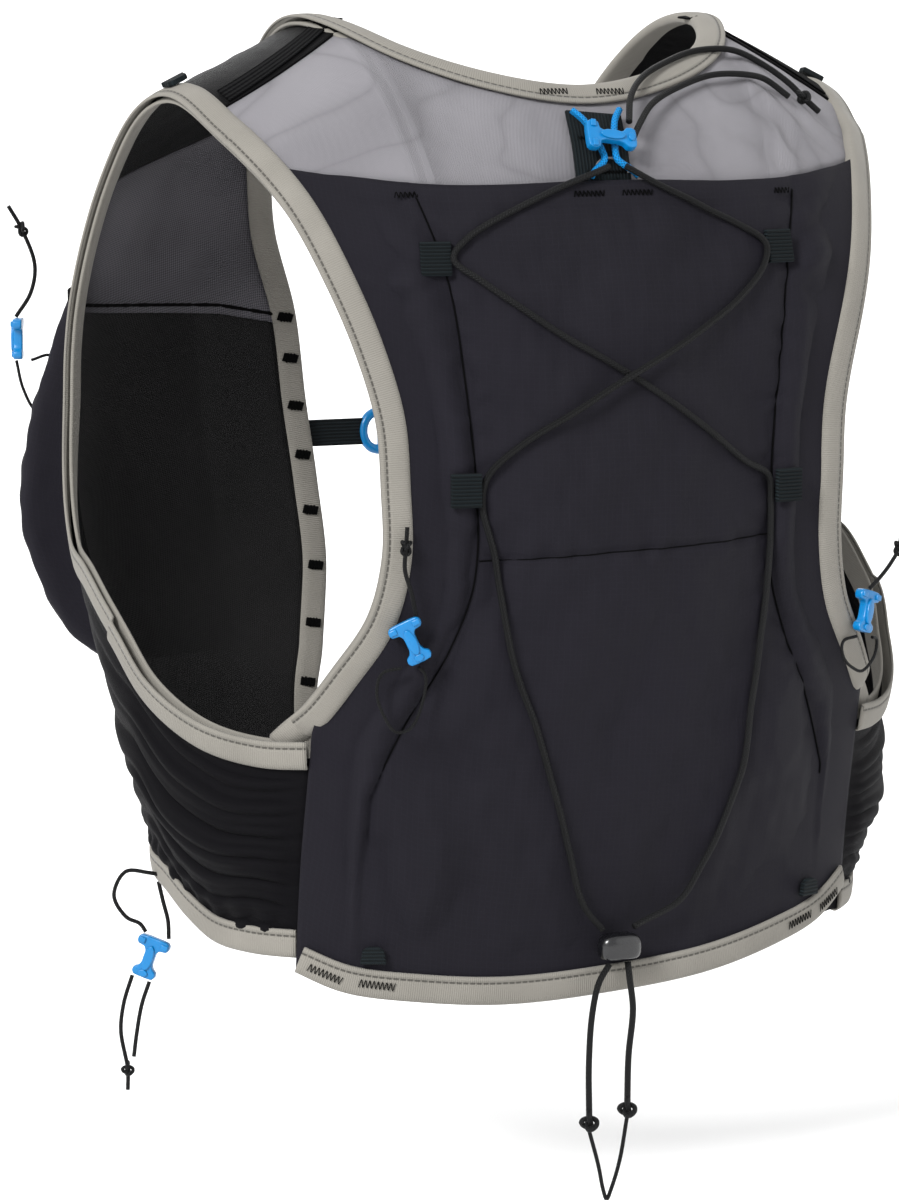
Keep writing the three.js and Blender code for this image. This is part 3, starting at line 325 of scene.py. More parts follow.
def spline(points, spacing):
    """A smooth line through the points, evenly spaced."""
    p = np.asarray(points, float)
    p = np.vstack([2 * p[0] - p[1], p, 2 * p[-1] - p[-2]])
    out = []
    for i in range(1, len(p) - 2):
        a, b, c, d = p[i - 1], p[i], p[i + 1], p[i + 2]
        s0, s1, s2 = (max(np.linalg.norm(v) ** .5, 1e-4) for v in (b - a, c - b, d - c))
        m = ((b - a) / s0 - (c - a) / (s0 + s1) + (c - b) / s1) * s1
        n = ((c - b) / s1 - (d - b) / (s1 + s2) + (d - c) / s2) * s1
        t = linspace(0, 1, 24, endpoint=False)[:, None]
        out.append(b + m * t + (3 * c - 3 * b - 2 * m - n) * t ** 2 + (2 * b - 2 * c + m + n) * t ** 3)
    line = np.vstack(out + [p[-2:-1]])
    run = run_along(line)
    count = max(4, int(round(run[-1] / spacing)))
    at = linspace(0, run[-1], count + 1)
    return stack([np.interp(at, run, line[:, k]) for k in range(3)], -1)


def ripple(seed, a, b, wave, stretch=1.0, octaves=3):
    """Soft seeded unevenness, about -1 to 1, over two coordinates in millimetres."""
    rng = np.random.default_rng(seed)
    total = np.zeros(np.broadcast(a, b).shape)
    for k in range(octaves):
        for _ in range(4):
            angle, phase = rng.uniform(0, math.pi), rng.uniform(0, 2 * math.pi)
            size = 2 * math.pi * 1.9 ** k / wave * rng.uniform(.7, 1.3)
            run = a * math.cos(angle) * stretch + b * math.sin(angle)
            total += sin(size * run + phase) / 1.7 ** k
    return total / 5


# Procedural materials
class Nodes:
    """The nodes of one Principled material. u and v run over the cloth in millimetres."""

    def __init__(self, name, color, roughness, **sockets):
        self.own = color
        self.material = bpy.data.materials.new(name)
        self.material.use_nodes = True
        self.tree = self.material.node_tree
        self.shader = self.tree.nodes["Principled BSDF"]
        self.shader.inputs["Base Color"].default_value = (*color, 1)
        self.shader.inputs["Roughness"].default_value = roughness
        for key, value in sockets.items():
            self.shader.inputs[key.replace("_", " ")].default_value = value
        self.uv = self.add("ShaderNodeUVMap").outputs["UV"]
        split = self.add("ShaderNodeSeparateXYZ", {0: self.uv})
        self.u, self.v = split.outputs[0], split.outputs[1]
        self.place = self.add("ShaderNodeTexCoord").outputs["Object"]

    def add(self, kind, inputs=None, **settings):
        node = self.tree.nodes.new(kind)
        for key, value in settings.items():
            setattr(node, key, value)
        for key, value in (inputs or {}).items():
            self.set(node.inputs[key], value)
        return node

    def set(self, socket, value):
        if isinstance(value, bpy.types.NodeSocket):
            self.tree.links.new(value, socket)
        else:
            socket.default_value = value

    def math(self, operation, *values):
        return self.add("ShaderNodeMath", dict(enumerate(values)), operation=operation).outputs[0]

    def mul(self, a, b):
        return self.math("MULTIPLY", a, b)

    def fit(self, a, b, c):
        """a times b, plus c."""
        return self.math("MULTIPLY_ADD", a, b, c)

    def noise(self, scale, detail=3.0, stretch=(1, 1, 1), vector=None):
        place = self.add("ShaderNodeMapping", {"Scale": stretch, "Vector": vector or self.place})
        inputs = {"Scale": scale, "Detail": detail, "Vector": place.outputs[0]}
        return self.add("ShaderNodeTexNoise", inputs).outputs["Fac"]

    def wave(self, coordinate, period):
        return self.math("SINE", self.fit(coordinate, 2 * math.pi / period, .0))

    def line(self, coordinate, period, width):
        """1 on thin lines that repeat each period, 0 between them."""
        part = self.math("FRACT", self.math("DIVIDE", coordinate, period))
        return self.math("LESS_THAN", part, width / period)

    def blend(self, factor, *colors):
        """Mixes two sockets, colours, or factors of the material's own colour."""
        colors = [shade(self.own, value) if isinstance(value, float) else value for value in colors]
        a, b = ((*value, 1) if isinstance(value, tuple) else value for value in colors)
        mix_node = self.add("ShaderNodeMix", {"Factor": factor, "A": a, "B": b}, data_type="RGBA")
        return mix_node.outputs["Result"]

    def color(self, value):
        self.set(self.shader.inputs["Base Color"], value)

    def rough(self, factor, low, high):
        node = self.add("ShaderNodeMapRange", {"Value": factor, "To Min": low, "To Max": high})
        self.set(self.shader.inputs["Roughness"], node.outputs[0])

    def bump(self, *layers):
        """Each layer is a height and its depth in millimetres."""
        under = {}
        for value, deep in layers:
            inputs = {"Strength": 1, "Distance": deep * MM, "Height": value, **under}
            under = {"Normal": self.add("ShaderNodeBump", inputs).outputs[0]}
        self.set(self.shader.inputs["Normal"], under["Normal"])


def shade(color, factor):
    return tuple(min(1, c * factor) for c in color)


SHELL = (.0072, .0065, .0101)
WING = (.0016, .0014, .0022)
SHOULDER = (.0016, .0015, .0018)
BINDING_COLOR = (.185, .175, .155)
WEBBING = (.0045, .0074, .0088)
CORD_COLOR = (.0019, .002, .0023)
CYAN = (.0, .14, .36)


def woven(name, color, roughness, grid, wrinkle, specular=.1):
    """Light cloth: a fine plain weave, a grid of stronger threads, clouds and creases."""
    m = Nodes(name, color, roughness, Sheen_Weight=.012, Sheen_Roughness=.4,
              Specular_IOR_Level=specular)
    threads = m.mul(m.wave(m.u, .55), m.wave(m.v, .55))
    strong = m.math("MAXIMUM", m.line(m.u, grid, .28), m.line(m.v, grid, .28))
    cloudy = m.noise(9, 4)
    base = m.blend(m.mul(strong, .35), m.blend(cloudy, .72, 1.3), 1.9)
    m.color(m.blend(m.mul(m.noise(1.4, 2, vector=m.uv), .3), base, .5))
    m.rough(cloudy, roughness - .08, roughness + .1)
    creases = m.noise(26, 5, stretch=(1, 1, .55))
    small = m.noise(75, 3, stretch=(.6, .6, 1.3))
    m.bump((creases, wrinkle), (small, wrinkle * .25), (strong, .05), (threads, .06))
    return m.material


def netting(name, dark, light, cover, period, slant, weave=.1, swirls=.0):
    """An open knitted mesh: small holes in slanting rows, and soft clouds where two layers cross."""
    m = Nodes(name, light, .75, Sheen_Weight=.03, Specular_IOR_Level=.12)
    holes = m.mul(m.wave(m.fit(m.v, slant, m.u), period), m.wave(m.fit(m.u, -slant, m.v), period))
    swirl = m.noise(9, 1.5, stretch=(1, 1, 1.5))
    crossing = m.math("ABSOLUTE", m.math("SINE", m.mul(swirl, 22.0)))
    rings = m.math("POWER", m.math("SUBTRACT", 1.0, crossing), 5.0)
    soft = m.fit(m.noise(11, 2), 2.2, -.6)
    cloud = m.blend(m.mul(rings, swirls), m.blend(soft, dark, light), shade(dark, .8))
    m.color(m.blend(m.fit(holes, weave, weave), cloud, shade(dark, .6)))
    m.bump((holes, .12), (m.noise(30, 3), .6))
    m.set(m.shader.inputs["Alpha"], m.fit(holes, -.06, cover))
    return m.material


def bound(name, color):
    """Soft folded tape: fine ribs across it, and a sunk line of stitches near its inner edge. Along that
    line the colour is darker: the stitches in the thread's own darker colour, and painted shade over the
    whole band of the sunk line.
    """
    m = Nodes(name, color, .8, Sheen_Weight=.1, Sheen_Roughness=.4, Specular_IOR_Level=.15)
    rib = m.wave(m.u, .9)
    near = m.math("ABSOLUTE", m.math("SUBTRACT", m.v, 3.5))
    # The band of the sunk stitch line: it marks the stitches and the painted shade along the line
    seam = m.math("LESS_THAN", near, .42)
    stitch = m.mul(seam, m.line(m.u, 2.9, 2.1))
    groove = m.math("SMOOTH_MIN", near, 1.2, .5)
    patches = m.noise(40, 4)
    base = m.blend(m.fit(rib, .06, .06), m.blend(patches, .85, 1.14), .6)
    # Painted shade: the band of the sunk line is darkened, between the stitches too
    base = m.blend(m.mul(seam, .35), base, .4)
    # The stitches themselves, in the thread's own darker colour
    m.color(m.blend(m.mul(stitch, .85), base, .3))
    m.bump((patches, .5), (groove, .55), (rib, .07), (stitch, .12))
    return m.material


def ribbed(name, color, period=1.5, roughness=.7, specular=.12):
    """Webbing: ribs across its width and a twill between them."""
    m = Nodes(name, color, roughness, Sheen_Weight=.01, Specular_IOR_Level=specular)
    rib = m.wave(m.v, period)
    twill = m.wave(m.math("ADD", m.u, m.v), period * .5)
    base = m.blend(m.fit(rib, .4, .5), .45, 2.1)
    m.color(m.blend(m.mul(m.noise(60, 3), .3), base, .6))
    m.bump((rib, .35), (twill, .12))
    return m.material


def braided(name, color, period, roughness=.55, specular=.16):
    m = Nodes(name, color, roughness, Sheen_Weight=.01, Specular_IOR_Level=specular)
    one, two = (m.wave(m.math(kind, m.u, m.v), period) for kind in ("ADD", "SUBTRACT"))
    braid = m.math("MAXIMUM", one, two)
    fleck = m.noise(120, 3)
    base = m.blend(m.fit(braid, .5, .5), .45, 1.5)
    m.color(m.blend(m.mul(fleck, .35), base, .6))
    m.bump((braid, .16), (fleck, .05))
    return m.material


def moulded(name, color, roughness, coat):
    m = Nodes(name, color, roughness, Specular_IOR_Level=.35, Coat_Weight=coat, Coat_Roughness=.2)
    cloudy = m.noise(60, 3)
    m.color(m.blend(cloudy, .82, 1.12))
    m.rough(m.noise(300, 3), roughness - .08, roughness + .1)
    m.bump((m.noise(500, 2), .04), (cloudy, .08))
    return m.material


MAT = {name: maker(name, *values) for name, maker, *values in [
    ("shell_fabric", woven, SHELL, .62, 2.4, 1.0),
    ("wing_fabric", woven, WING, .6, 1.6, 1.6, .06),
    ("shoulder_fabric", woven, SHOULDER, .45, 1.2, 1.4, .05),
    ("mesh", netting, (.17, .165, .178), (.255, .248, .265), .93, .9, .6, .06, .55),
    ("front_mesh", netting, (.02, .0195, .023), (.165, .158, .178), .96, 2.1, .9, .42),
    ("dark_mesh", netting, (.003, .003, .0032), (.009, .0085, .009), .97, 1.5, .5, .3),
    ("binding", bound, BINDING_COLOR),
    ("webbing", ribbed, WEBBING),
    ("ribbon", ribbed, (.0015, .0015, .0018), 2.6, .8, .04),
    ("cord", braided, CORD_COLOR, 1.5),
    ("thread", braided, (.0008, .0008, .0009), .7, .7, .03),
    ("accent_cord", braided, CYAN, 1.6, .45),
    ("accent_plastic", moulded, CYAN, .3, .12),
    ("toggle_plastic", moulded, (.004, .004, .005), .25, .5),
    ("ring_plastic", moulded, (.12, .12, .125), .4, .1),
]}


# Mesh makers
def make(name, points, faces, material, uv, node=None):
    """A piece with its material. node is the solid whose place it takes."""
    mesh = bpy.data.meshes.new(name)
    mesh.from_pydata((np.asarray(points) * MM).tolist(), [], faces)
    layer = mesh.uv_layers.new(name="UVMap")
    index = np.empty(len(mesh.loops), int)
    mesh.loops.foreach_get("vertex_index", index)
    layer.data.foreach_set("uv", np.asarray(uv, float)[index].ravel())
    mesh.polygons.foreach_set("use_smooth", np.full(len(mesh.polygons), True))
    mesh.materials.append(MAT[material])
    piece = placed(name, mesh)
    work = bmesh.new()
    work.from_mesh(mesh)
    bmesh.ops.recalc_face_normals(work, faces=work.faces)
    work.to_mesh(mesh)
    work.free()
    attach(piece, "root")
    if node:
        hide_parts(node)
    return piece


def grid(columns, rows):
    return meshgrid(linspace(0, 1, columns + 1), linspace(0, 1, rows + 1))


def cloth(name, inner, material, node, thickness=FABRIC):
    """A closed wall on the grid of points of its inner face, its thickness along its own normal."""
    out = unit(cross(np.gradient(inner, axis=1), np.gradient(inner, axis=0)))
    if (out * normal(inner)).sum(-1).mean() < 0:
        out = -out
    outer = inner + out * np.asarray(thickness)[..., None]
    index = np.arange(inner[..., 0].size).reshape(inner.shape[:2])
    face = stack([index[:-1, :-1], index[:-1, 1:], index[1:, 1:], index[1:, :-1]], -1).reshape(-1, 4)
    rim = concatenate([index[0, :-1], index[:-1, -1], index[-1, :0:-1], index[:0:-1, 0]])
    after = np.roll(rim, -1)
    wall = stack([rim, after, after + index.size, rim + index.size], -1)
    faces = concatenate([face, face[:, ::-1] + index.size, wall]).tolist()
    rightward, downward = diff(inner, axis=1), diff(inner, axis=0)
    across, downs = np.linalg.norm(rightward, axis=-1), np.linalg.norm(downward, axis=-1)
    u = pad(cumsum(across, 1), ((0, 0), (1, 0)))
    u -= u[:, across.shape[1] // 2][:, None]
    v = pad(cumsum(downs, 0), ((1, 0), (0, 0)))
    uv = np.tile(stack([u.ravel(), v.ravel()], -1), (2, 1))
    piece = make(name, concatenate([outer, inner]).reshape(-1, 3), faces, material, uv, node)
    cell = np.linalg.norm(cross(rightward[:-1], downward[:, :-1]), axis=-1)


def belts(rows, sides):
    """The faces of rings of points, each joined to the next."""
    i, j = meshgrid(np.arange(rows - 1), np.arange(sides), indexing="ij")
    a, b = i * sides + j, i * sides + (j + 1) % sides
    return stack([a, b, b + sides, a + sides], -1).reshape(-1, 4).tolist()


def loft(name, rings, line, edge, material, node=None):
    """Closes rings of points along a line. edge is the run round a ring."""
    n, k = rings.shape[:2]
    uv = stack(np.broadcast_arrays(run_along(line)[:, None], edge[None]), -1).reshape(-1, 2)
    faces = belts(n, k) + [list(range(k))[::-1], [(n - 1) * k + q for q in range(k)]]
    return make(name, rings.reshape(-1, 3), faces, material, uv, node)


def swept(name, line, section, material, node=None, up=None):
    """section(i) gives the section's points (beside, up) at each place of the line."""
    along = unit(np.gradient(line, axis=0))
    beside = unit(cross(along, normal(line) if up is None else up))
    up = cross(beside, along)
    ring = stack([section(i) for i in range(len(line))])
    points = line[:, None] + beside[:, None] * ring[..., :1] + up[:, None] * ring[..., 1:]
    loft(name, points, line, run_along(ring[len(line) // 2]), material, node)


def tube(name, line, diameter, material, node=None, sides=12):
    """A round cord along a line, with its braid's low relief."""
    along = unit(np.gradient(line, axis=0))
    side = [unit(cross(along[0], (.3, .2, 1.0)))]
    for a in along[1:]:
        side.append(unit(side[-1] - a * np.dot(side[-1], a)))
    side = array(side)
    other = cross(along, side)
    run = run_along(line)[:, None] * 2.1
    angle = np.arange(sides) / sides * 2 * math.pi
    radius = diameter / 2 * (.97 + .03 * cos(3 * angle + run) * cos(3 * angle - run))
    ring = cos(angle)[:, None] * side[:, None] + sin(angle)[:, None] * other[:, None]
    points = line[:, None] + ring * radius[..., None]
    return loft(name, points, line, angle * diameter / 2, material, node)


def flat_section(width, low, high):
    w = width / 2
    pts = [(w, low + .3), (w, high - .4), (w - .5, high), (w / 2, high), (0, high), (-w / 2, high),
           (-w + .5, high), (-w, high - .4), (-w, low + .3), (-w + .4, low), (w - .4, low)]
    return lambda i: array(pts)


def free_cord(name, points, diameter, spare=()):
    line = spline(points, CORD_STEP)
    length = max(.0305, run_along(line)[-1] * MM)
    piece = tube(name + "_cord", line, diameter, "cord", name)


def overhand(name, place, along, size, diameter):
    """A small overhand knot drawn round the cord at a place."""
    t = linspace(0, 2 * math.pi, 90)
    curl = stack([sin(t) + 2 * sin(2 * t), cos(t) - 2 * cos(2 * t),
                  -1.5 * sin(3 * t)], -1)
    along = unit(along)
    side = unit(cross(along, (.9, .42, .1)))
    third = cross(along, side)
    loops = curl[:, :1] * side * .95 + curl[:, 1:2] * along * 1.25 + curl[:, 2:] * third * 1.1
    return tube(name, place + (size / 2 - diameter * .35) / 3 * loops, diameter, "cord", sides=8)


def end_knot(name, line):
    """A knot before the end of a thin cord."""
    return overhand(name, line[-2], line[-1] - line[-2], 6.0, 1.6)


def rounded(name, outline, thickness, place, up, out, material, node=None, bevel=.8, extra=()):
    """Slabs drawn in a plane and stood at a place, with rounded edges. extra adds more of them."""
    out = unit(out)
    x = unit(cross(up, out))
    y = cross(out, x)
    work = bmesh.new()
    for shape, low, high, round_off in [(outline, -thickness / 2, thickness / 2, bevel), *extra]:
        part = bmesh.new()
        face = part.faces.new([part.verts.new((a, b, low)) for a, b in shape])
        moved = bmesh.ops.extrude_face_region(part, geom=[face])
        for vert in (g for g in moved["geom"] if isinstance(g, bmesh.types.BMVert)):
            vert.co.z = high
        bmesh.ops.recalc_face_normals(part, faces=part.faces)
        bmesh.ops.bevel(part, geom=part.edges[:], offset=round_off, segments=3, profile=.6,
                        affect="EDGES", clamp_overlap=True)
        slab = bpy.data.meshes.new("slab")
        part.to_mesh(slab)
        part.free()
        work.from_mesh(slab)
        bpy.data.meshes.remove(slab)
    local = array([v.co[:] for v in work.verts])
    work.verts.index_update()
    faces = [[v.index for v in f.verts] for f in work.faces]
    work.free()
    points = np.asarray(place) + local[:, :1] * x + local[:, 1:2] * y + local[:, 2:] * out
    return make(name, points, faces, material, local[:, :2], node)


# Cords: the routes repeat those of the solids
HANGER_LIFT = OVER_PANEL + LAYER_GAP
HANGER_THICKNESS = 1.6
ON_HANGER = HANGER_LIFT + HANGER_THICKNESS + LAYER_GAP
HOOK_LIFT = ON_HANGER + HANGER_CORD + LAYER_GAP + 2.5
HOOK_DOWN = .131
# Shares across and down, and the lift off the yoke
TOP_TAIL = [(-.0575, .117, HOOK_LIFT), (-.09, .092, 9), (-.15, .07, 6.6), (-.244, .052, 4.9),
            (-.349, .041, 4.9), (-.446, .041, 4.7), (-.524, .046, 3.6), (-.577, .055, 4), (-.6, .066, 4.4)]
TOP_TAIL_END = (-.64, .074, 4)


def back_place(a, d, lift):
    return lifted(spot(a, d), lift)


upper = [back_place(*row) for row in TOP_TAIL]
tail_end = back_place(*TOP_TAIL_END)
tail_knot = overhand("top_tail_knot", upper[-1], tail_end - upper[-1], 6.5, 2.4)
free_cord("top_tail_upper", upper + [tail_end], CORD, [tail_knot])
lower = [back_place(TOP_TAIL[0][0], TOP_TAIL[0][1] + .014, HOOK_LIFT)]
lower += [back_place(a, d + .024, lift) for a, d, lift in TOP_TAIL[1:6]]
lower += [back_place(a + .03, d + .019, lift) for a, d, lift in TOP_TAIL[6:8]]
free_cord("top_tail_lower", lower, CORD)


def down_share(x, h):
    return clip((h - mouth_down(x)) / (hem_down(x) - mouth_down(x)), 0, 1)


def back_puff(x, v):
    """How far the solid pocket stands off the lining: a middle between its seams, and two flanks."""
    seam = seam_x(mix(mouth_down(x), hem_down(x), v))
    swell = maximum(0, smooth(BACK_FULL, v))
    share = np.abs(x) / seam
    edge = edge_x(v) - POCKET_SETBACK
    flank = clip((np.abs(x) - seam) / (edge - seam), 0, 1)
    middle = BACK_PUFF * swell * maximum(0, 1 - share ** 2) ** .7
    return where(share < 1, middle, BACK_PUFF * FLANK * swell * bell(flank))


FOLD_HEIGHT = 2.3
# Folds of the back pocket: from and to in shares across and down, the width in millimetres, and the
# height in units of FOLD_HEIGHT
FOLDS = [
    (.6, .17, .5, .3, 7, -1.6), (.52, .22, .45, .34, 6, 1.2), (.62, .2, .46, .25, 4, -1.5),
    (.6, .24, .47, .27, 4, 1.3), (.6, .28, .45, .26, 4, -1.3), (-.62, .17, -.44, .24, 4, -1.5),
    (-.6, .22, -.44, .26, 4, 1.2), (-.58, .3, -.45, .27, 4, -1.2), (.47, .28, .52, .44, 8, -1.4),
    (.44, .5, .3, .6, 9, -1.3), (.46, .52, .44, .66, 7, -1.8), (.5, .6, .62, .72, 9, 1.5),
    (.6, .7, .3, .78, 11, -1.8), (.64, .76, .4, .84, 12, 1.6), (.56, .84, .5, .95, 9, -1.6),
    (.44, .8, .47, .94, 8, 1.4), (.36, .82, .34, .95, 10, -1.2), (.18, .86, .12, .95, 9, 1.0),
    (-.02, .6, .05, .8, 14, -1.0), (-.12, .84, -.1, .95, 10, -1.2), (-.28, .8, -.22, .94, 10, 1.2),
    (-.44, .5, -.5, .66, 8, -1.6), (-.48, .62, -.42, .8, 10, 1.3), (-.56, .66, -.6, .9, 9, -1.5),
    (-.44, .86, -.4, .95, 9, -1.3), (-.47, .26, -.52, .42, 7, -1.3), (-.55, .18, -.46, .26, 6, 1.0),
    (.3, .22, .1, .26, 10, -.9), (-.28, .21, -.1, .25, 9, -.8), (.25, .46, .05, .44, 12, .8),
    (-.36, .4, -.2, .36, 10, -.8), (.38, .36, .28, .42, 9, -.9), (.2, .62, .28, .74, 12, -1.0),
    (-.3, .6, -.26, .74, 12, -1.1), (.06, .56, -.06, .6, 10, .7),
]


def folds(x, h):
    total = np.zeros(np.shape(x))
    for a0, d0, a1, d1, wide, high in FOLDS:
        p, q = array([a0 * CHEST, d0 * LENGTH]), array([a1 * CHEST, d1 * LENGTH])
        run = q - p
        t = ((x - p[0]) * run[0] + (h - p[1]) * run[1]) / (run @ run)
        near = clip(t, 0, 1)
        off = np.hypot(x - p[0] - near * run[0], h - p[1] - near * run[1])
        total += FOLD_HEIGHT * high * exp(-(off / wide) ** 2) * bell(clip(t, .04, .96)) ** .5
    return total


CROSS_SEAM = (.532, .018)  # share down at the middle, and its tilt


def pocket_stand(x, h):
    """How far the back pocket's inner face stands off the form, with its folds, seams and puckers."""
    v = down_share(x, h)
    u = (x / edge_x(v) + 1) / 2
    puff = back_puff(x, v)
    inside = clip(1.2 * bell(clip(u, 0, 1)) ** .5, 0, 1) * clip((1 - v) / .05, 0, 1)
    off = np.abs(x) - seam_x(h)
    pucker = .55 * sin(h / 2.1 + 2.5 * ripple(13, x, h, 30)) * exp(-(off / 9) ** 2)
    pucker = pucker * step(1 - v, .04, .2)
    across = h - LENGTH * (CROSS_SEAM[0] + CROSS_SEAM[1] * x / CHEST)
    gathers = .5 * sin(x / 2.4 + 2 * ripple(14, x, h, 40)) * exp(-(across / 8) ** 2)
    crumple = 1.9 * ripple(11, x, h, 80, 1.0, 3) + .6 * ripple(12, x, h, 26, 1.4, 2)
    edge = edge_x(v) - POCKET_SETBACK
    flank = clip(off / (edge - np.abs(x) + off), 0, 1)
    puff = puff + 1.8 * bell(flank) * step(v, 0, .1) * (1 - step(v, .85, .97))
    relief = clip(folds(x, h) + crumple + pucker + gathers - .6, -5.0, 1.8)
    relief = relief * clip(minimum(1, inside) * clip(v / .03, .25, 1), 0, 1)
    between = np.abs(x) < seam_x(h)
    sunk = 1.6 * exp(-(across / 2.2) ** 2) * between
    sunk = sunk + .4 * exp(-((h - mouth_down(x) - 9) / 1.0) ** 2)
    stand = maximum(0, puff + relief) - sunk * minimum(1, puff)
    return POCKET_BASE + maximum(0, stand)


def over_pocket(a, d, clearance):
    x, h = CHEST * a, LENGTH * d
    v = down_share(x, h)
    return lifted(on(x, h, 1), POCKET_BASE + FABRIC + back_puff(x, v) + clearance)


def laid(points, diameter):
    """Lays a route of shares and lifts on the pocket: over its folds, and across narrow hollows."""
    line = spline([(CHEST * a, LENGTH * d, rise) for a, d, rise in points], 1.0)
    stand = pocket_stand(line[:, 0], line[:, 1])
    padded = pad(stand, 6, mode="edge")
    crest = array([padded[i:i + 13].max() for i in range(len(stand))])
    crest = np.convolve(pad(crest, 5, mode="edge"), np.ones(11) / 11, mode="valid")
    return lifted(on(line[:, 0], line[:, 1], 1), crest + FABRIC + diameter / 2 + line[:, 2])


LACE_FROM = .157
LOCK_HALF = 5.5
LACES = {
    "left": [(.02, LACE_FROM), (.184, .18), (.376, .219), (.41, .238), (.355, .26), (.2, .307),
             (.024, .354), (-.139, .403), (-.275, .447), (-.345, .464), (-.36, .49), (-.354, .553),
             (-.337, .636), (-.32, .699), (-.305, .763), (-.275, .801), (-.222, .86), (-.158, .905),
             (-.045, .929)],
    "right": [(-.02, LACE_FROM), (-.09, .172), (-.28, .21), (-.355, .231), (-.345, .25), (-.265, .283),
              (-.116, .321), (.024, .354), (.16, .39), (.275, .421), (.346, .45), (.36, .481),
              (.33, .533), (.289, .632), (.222, .709), (.162, .79), (.128, .84), (.085, .901),
              (.035, .929)],
}
CROSSING = .354  # where the right lace passes over the left one
for name, rows in LACES.items():
    points = []
    for a, d in rows:
        hump = (CORD + LAYER_GAP) * max(0, 1 - abs(d - CROSSING) / .06) if name == "right" else 0
        rise = 1.5 * max(0, 1 - (d - LACE_FROM) / .02) + step(d, .88, .925) * (LOCK_HALF - CORD / 2)
        points.append((a, d, hump + rise + .1))
    tube(f"lacing_{name}", laid(points, CORD), CORD, "cord", f"lacing_cord_{name}")

LOCK = over_pocket(-.005, .948, LOCK_HALF + 3 * LAYER_GAP)
# From the lock, in millimetres: to the wearer's left, back and down
BOTTOM_TAILS = {
    "left": [(5, .5, 7.1), (11, 3, 14), (15, 5, 26), (16.5, 5, 46), (16.3, 5, 72)],
    "right": [(-4, 0, 6.6), (-4, 2, 14), (-4.5, 4, 26), (-2.5, 4, 46), (-2, 4, 68)],
}
PULL_LOOP = [(12, 5, 91), (9.6, 5, 102), (8, 5, 106), (6, 5, 102), (2, 5, 90)]


def hang(rows):
    return LOCK + array(rows) * (1, 1, -1)


ends = {}
for name, rows in BOTTOM_TAILS.items():
    points = hang(rows)
    along = unit(points[-1] - points[-2])
    ends[name] = points[-1] + along * (3.5 + LAYER_GAP)
    knot = overhand(f"bottom_knot_{name}", points[-1], along, 8.5, 2.3)
    free_cord(f"bottom_tail_{name}", points, CORD, [knot])
free_cord("pull_loop", [ends["left"], *hang(PULL_LOOP), ends["right"]], THIN_CORD)

HALF_HOOK = 9.6
BELOW = HALF_HOOK + 1
ADJUSTERS = {
    "armhole_left": {
        "at": (96.2, 116.8, -250), "up": (.55, 0, 1), "out": (.45, .9, 0),
        "tail": [(-2, 0, HALF_HOOK), (1, 2, 20), (4, 2, 30), (3, 1, 39), (2, 0, 47)],
        "loop": [(-3, 0, -BELOW), (-6, 0, -14), (-5, -1, -26), (0, -2, -36), (6, -3, -37), (10, -5, -31),
                 (13, -6, -21), (11, -5, -13), (4, -1, -BELOW)],
    },
    "armhole_right": {
        "at": (-121.4, 105.9, -250), "up": (-.3, 0, 1), "out": (-.45, .9, 0),
        "tail": [(-2, 0, HALF_HOOK), (-7, 0, 14), (-13, -1, 20), (-18, -3, 26), (-19.5, -4, 32)],
        "loop": [(4, 0, -BELOW), (10, 0, -12), (13, 3, -15), (11, 2, -20), (6, 0, -24), (0, -2, -26),
                 (-7, -4, -20), (-8, -4, -13), (-4, -1, -BELOW - 1)],
    },
    "front_left": {
        "at": (179, -116.6, -139), "up": (0, 0, 1), "out": (.9, -.42, 0),
        "tail": [(1, 0, HALF_HOOK), (-6, 0, 20), (-8, 0, 32), (-2, 0, 48), (4, 0, 58)],
        "loop": [(1, 0, -HALF_HOOK), (-2, 0, -22), (-8, 0, -32), (-15, 0, -32), (-19, 0, -20),
                 (-15, 0, -8), (-6, 0, -HALF_HOOK)],
    },
}
HOOK_OUTLINE = [(2.6, -9), (5.4, -8.8), (6.6, -7.4), (6.2, -5.6), (3.9, -4.4), (3.0, -2.6), (3.0, 2.6),
                (4.2, 4.2), (8.0, 4.6), (9.0, 6.0), (8.8, 7.8), (7.4, 8.8), (3.6, 9)]
HOOK_OUTLINE += [(-x, y) for x, y in reversed(HOOK_OUTLINE)]
HOOK_BAR = ((-1.6, -1.2), (1.6, -1.2), (1.6, 1.2), (-1.6, 1.2))
SMALL_HOOK, LOOP_CORD = .8, 1.4


def ellipse(wide, high, angles):
    return [(wide * math.cos(a), high * math.sin(a)) for a in angles]


def cord_hook(name, at, up, out, node, scale=SMALL_HOOK, stretch=1.0):
    """A flat hook with a raised spine, a bar across each arm and one across its foot."""
    body = [(x * scale, y * stretch) for x, y in HOOK_OUTLINE]
    spine = ellipse(2.2, 5.6, linspace(0, 2 * math.pi, 14, endpoint=False))
    bars = [[(x + 6.4 * s * scale, y + 6.7 * stretch) for x, y in HOOK_BAR] for s in (-1, 1)]
    bars.append([(x, y - 6.9 * stretch) for x, y in ellipse(2.6 * scale, 1.5, linspace(0, 5.7, 12))])
    extra = [(spine, 1.6, 3.1, .6)] + [(bar, 1.6, 2.9, .5) for bar in bars]
    rounded(name, body, 4.0, at, up, out, "accent_plastic", node, .9, extra)


for name, a in ADJUSTERS.items():
    at = array(a["at"], float)
    cord_hook(f"hook_{name}", at, a["up"], a["out"], f"cord_hook_{name}")
    line = at + a["tail"]
    free_cord(f"tail_{name}", line, THIN_CORD, [end_knot(f"knot_{name}", line)])
    free_cord(f"loop_{name}", at + a["loop"], LOOP_CORD)

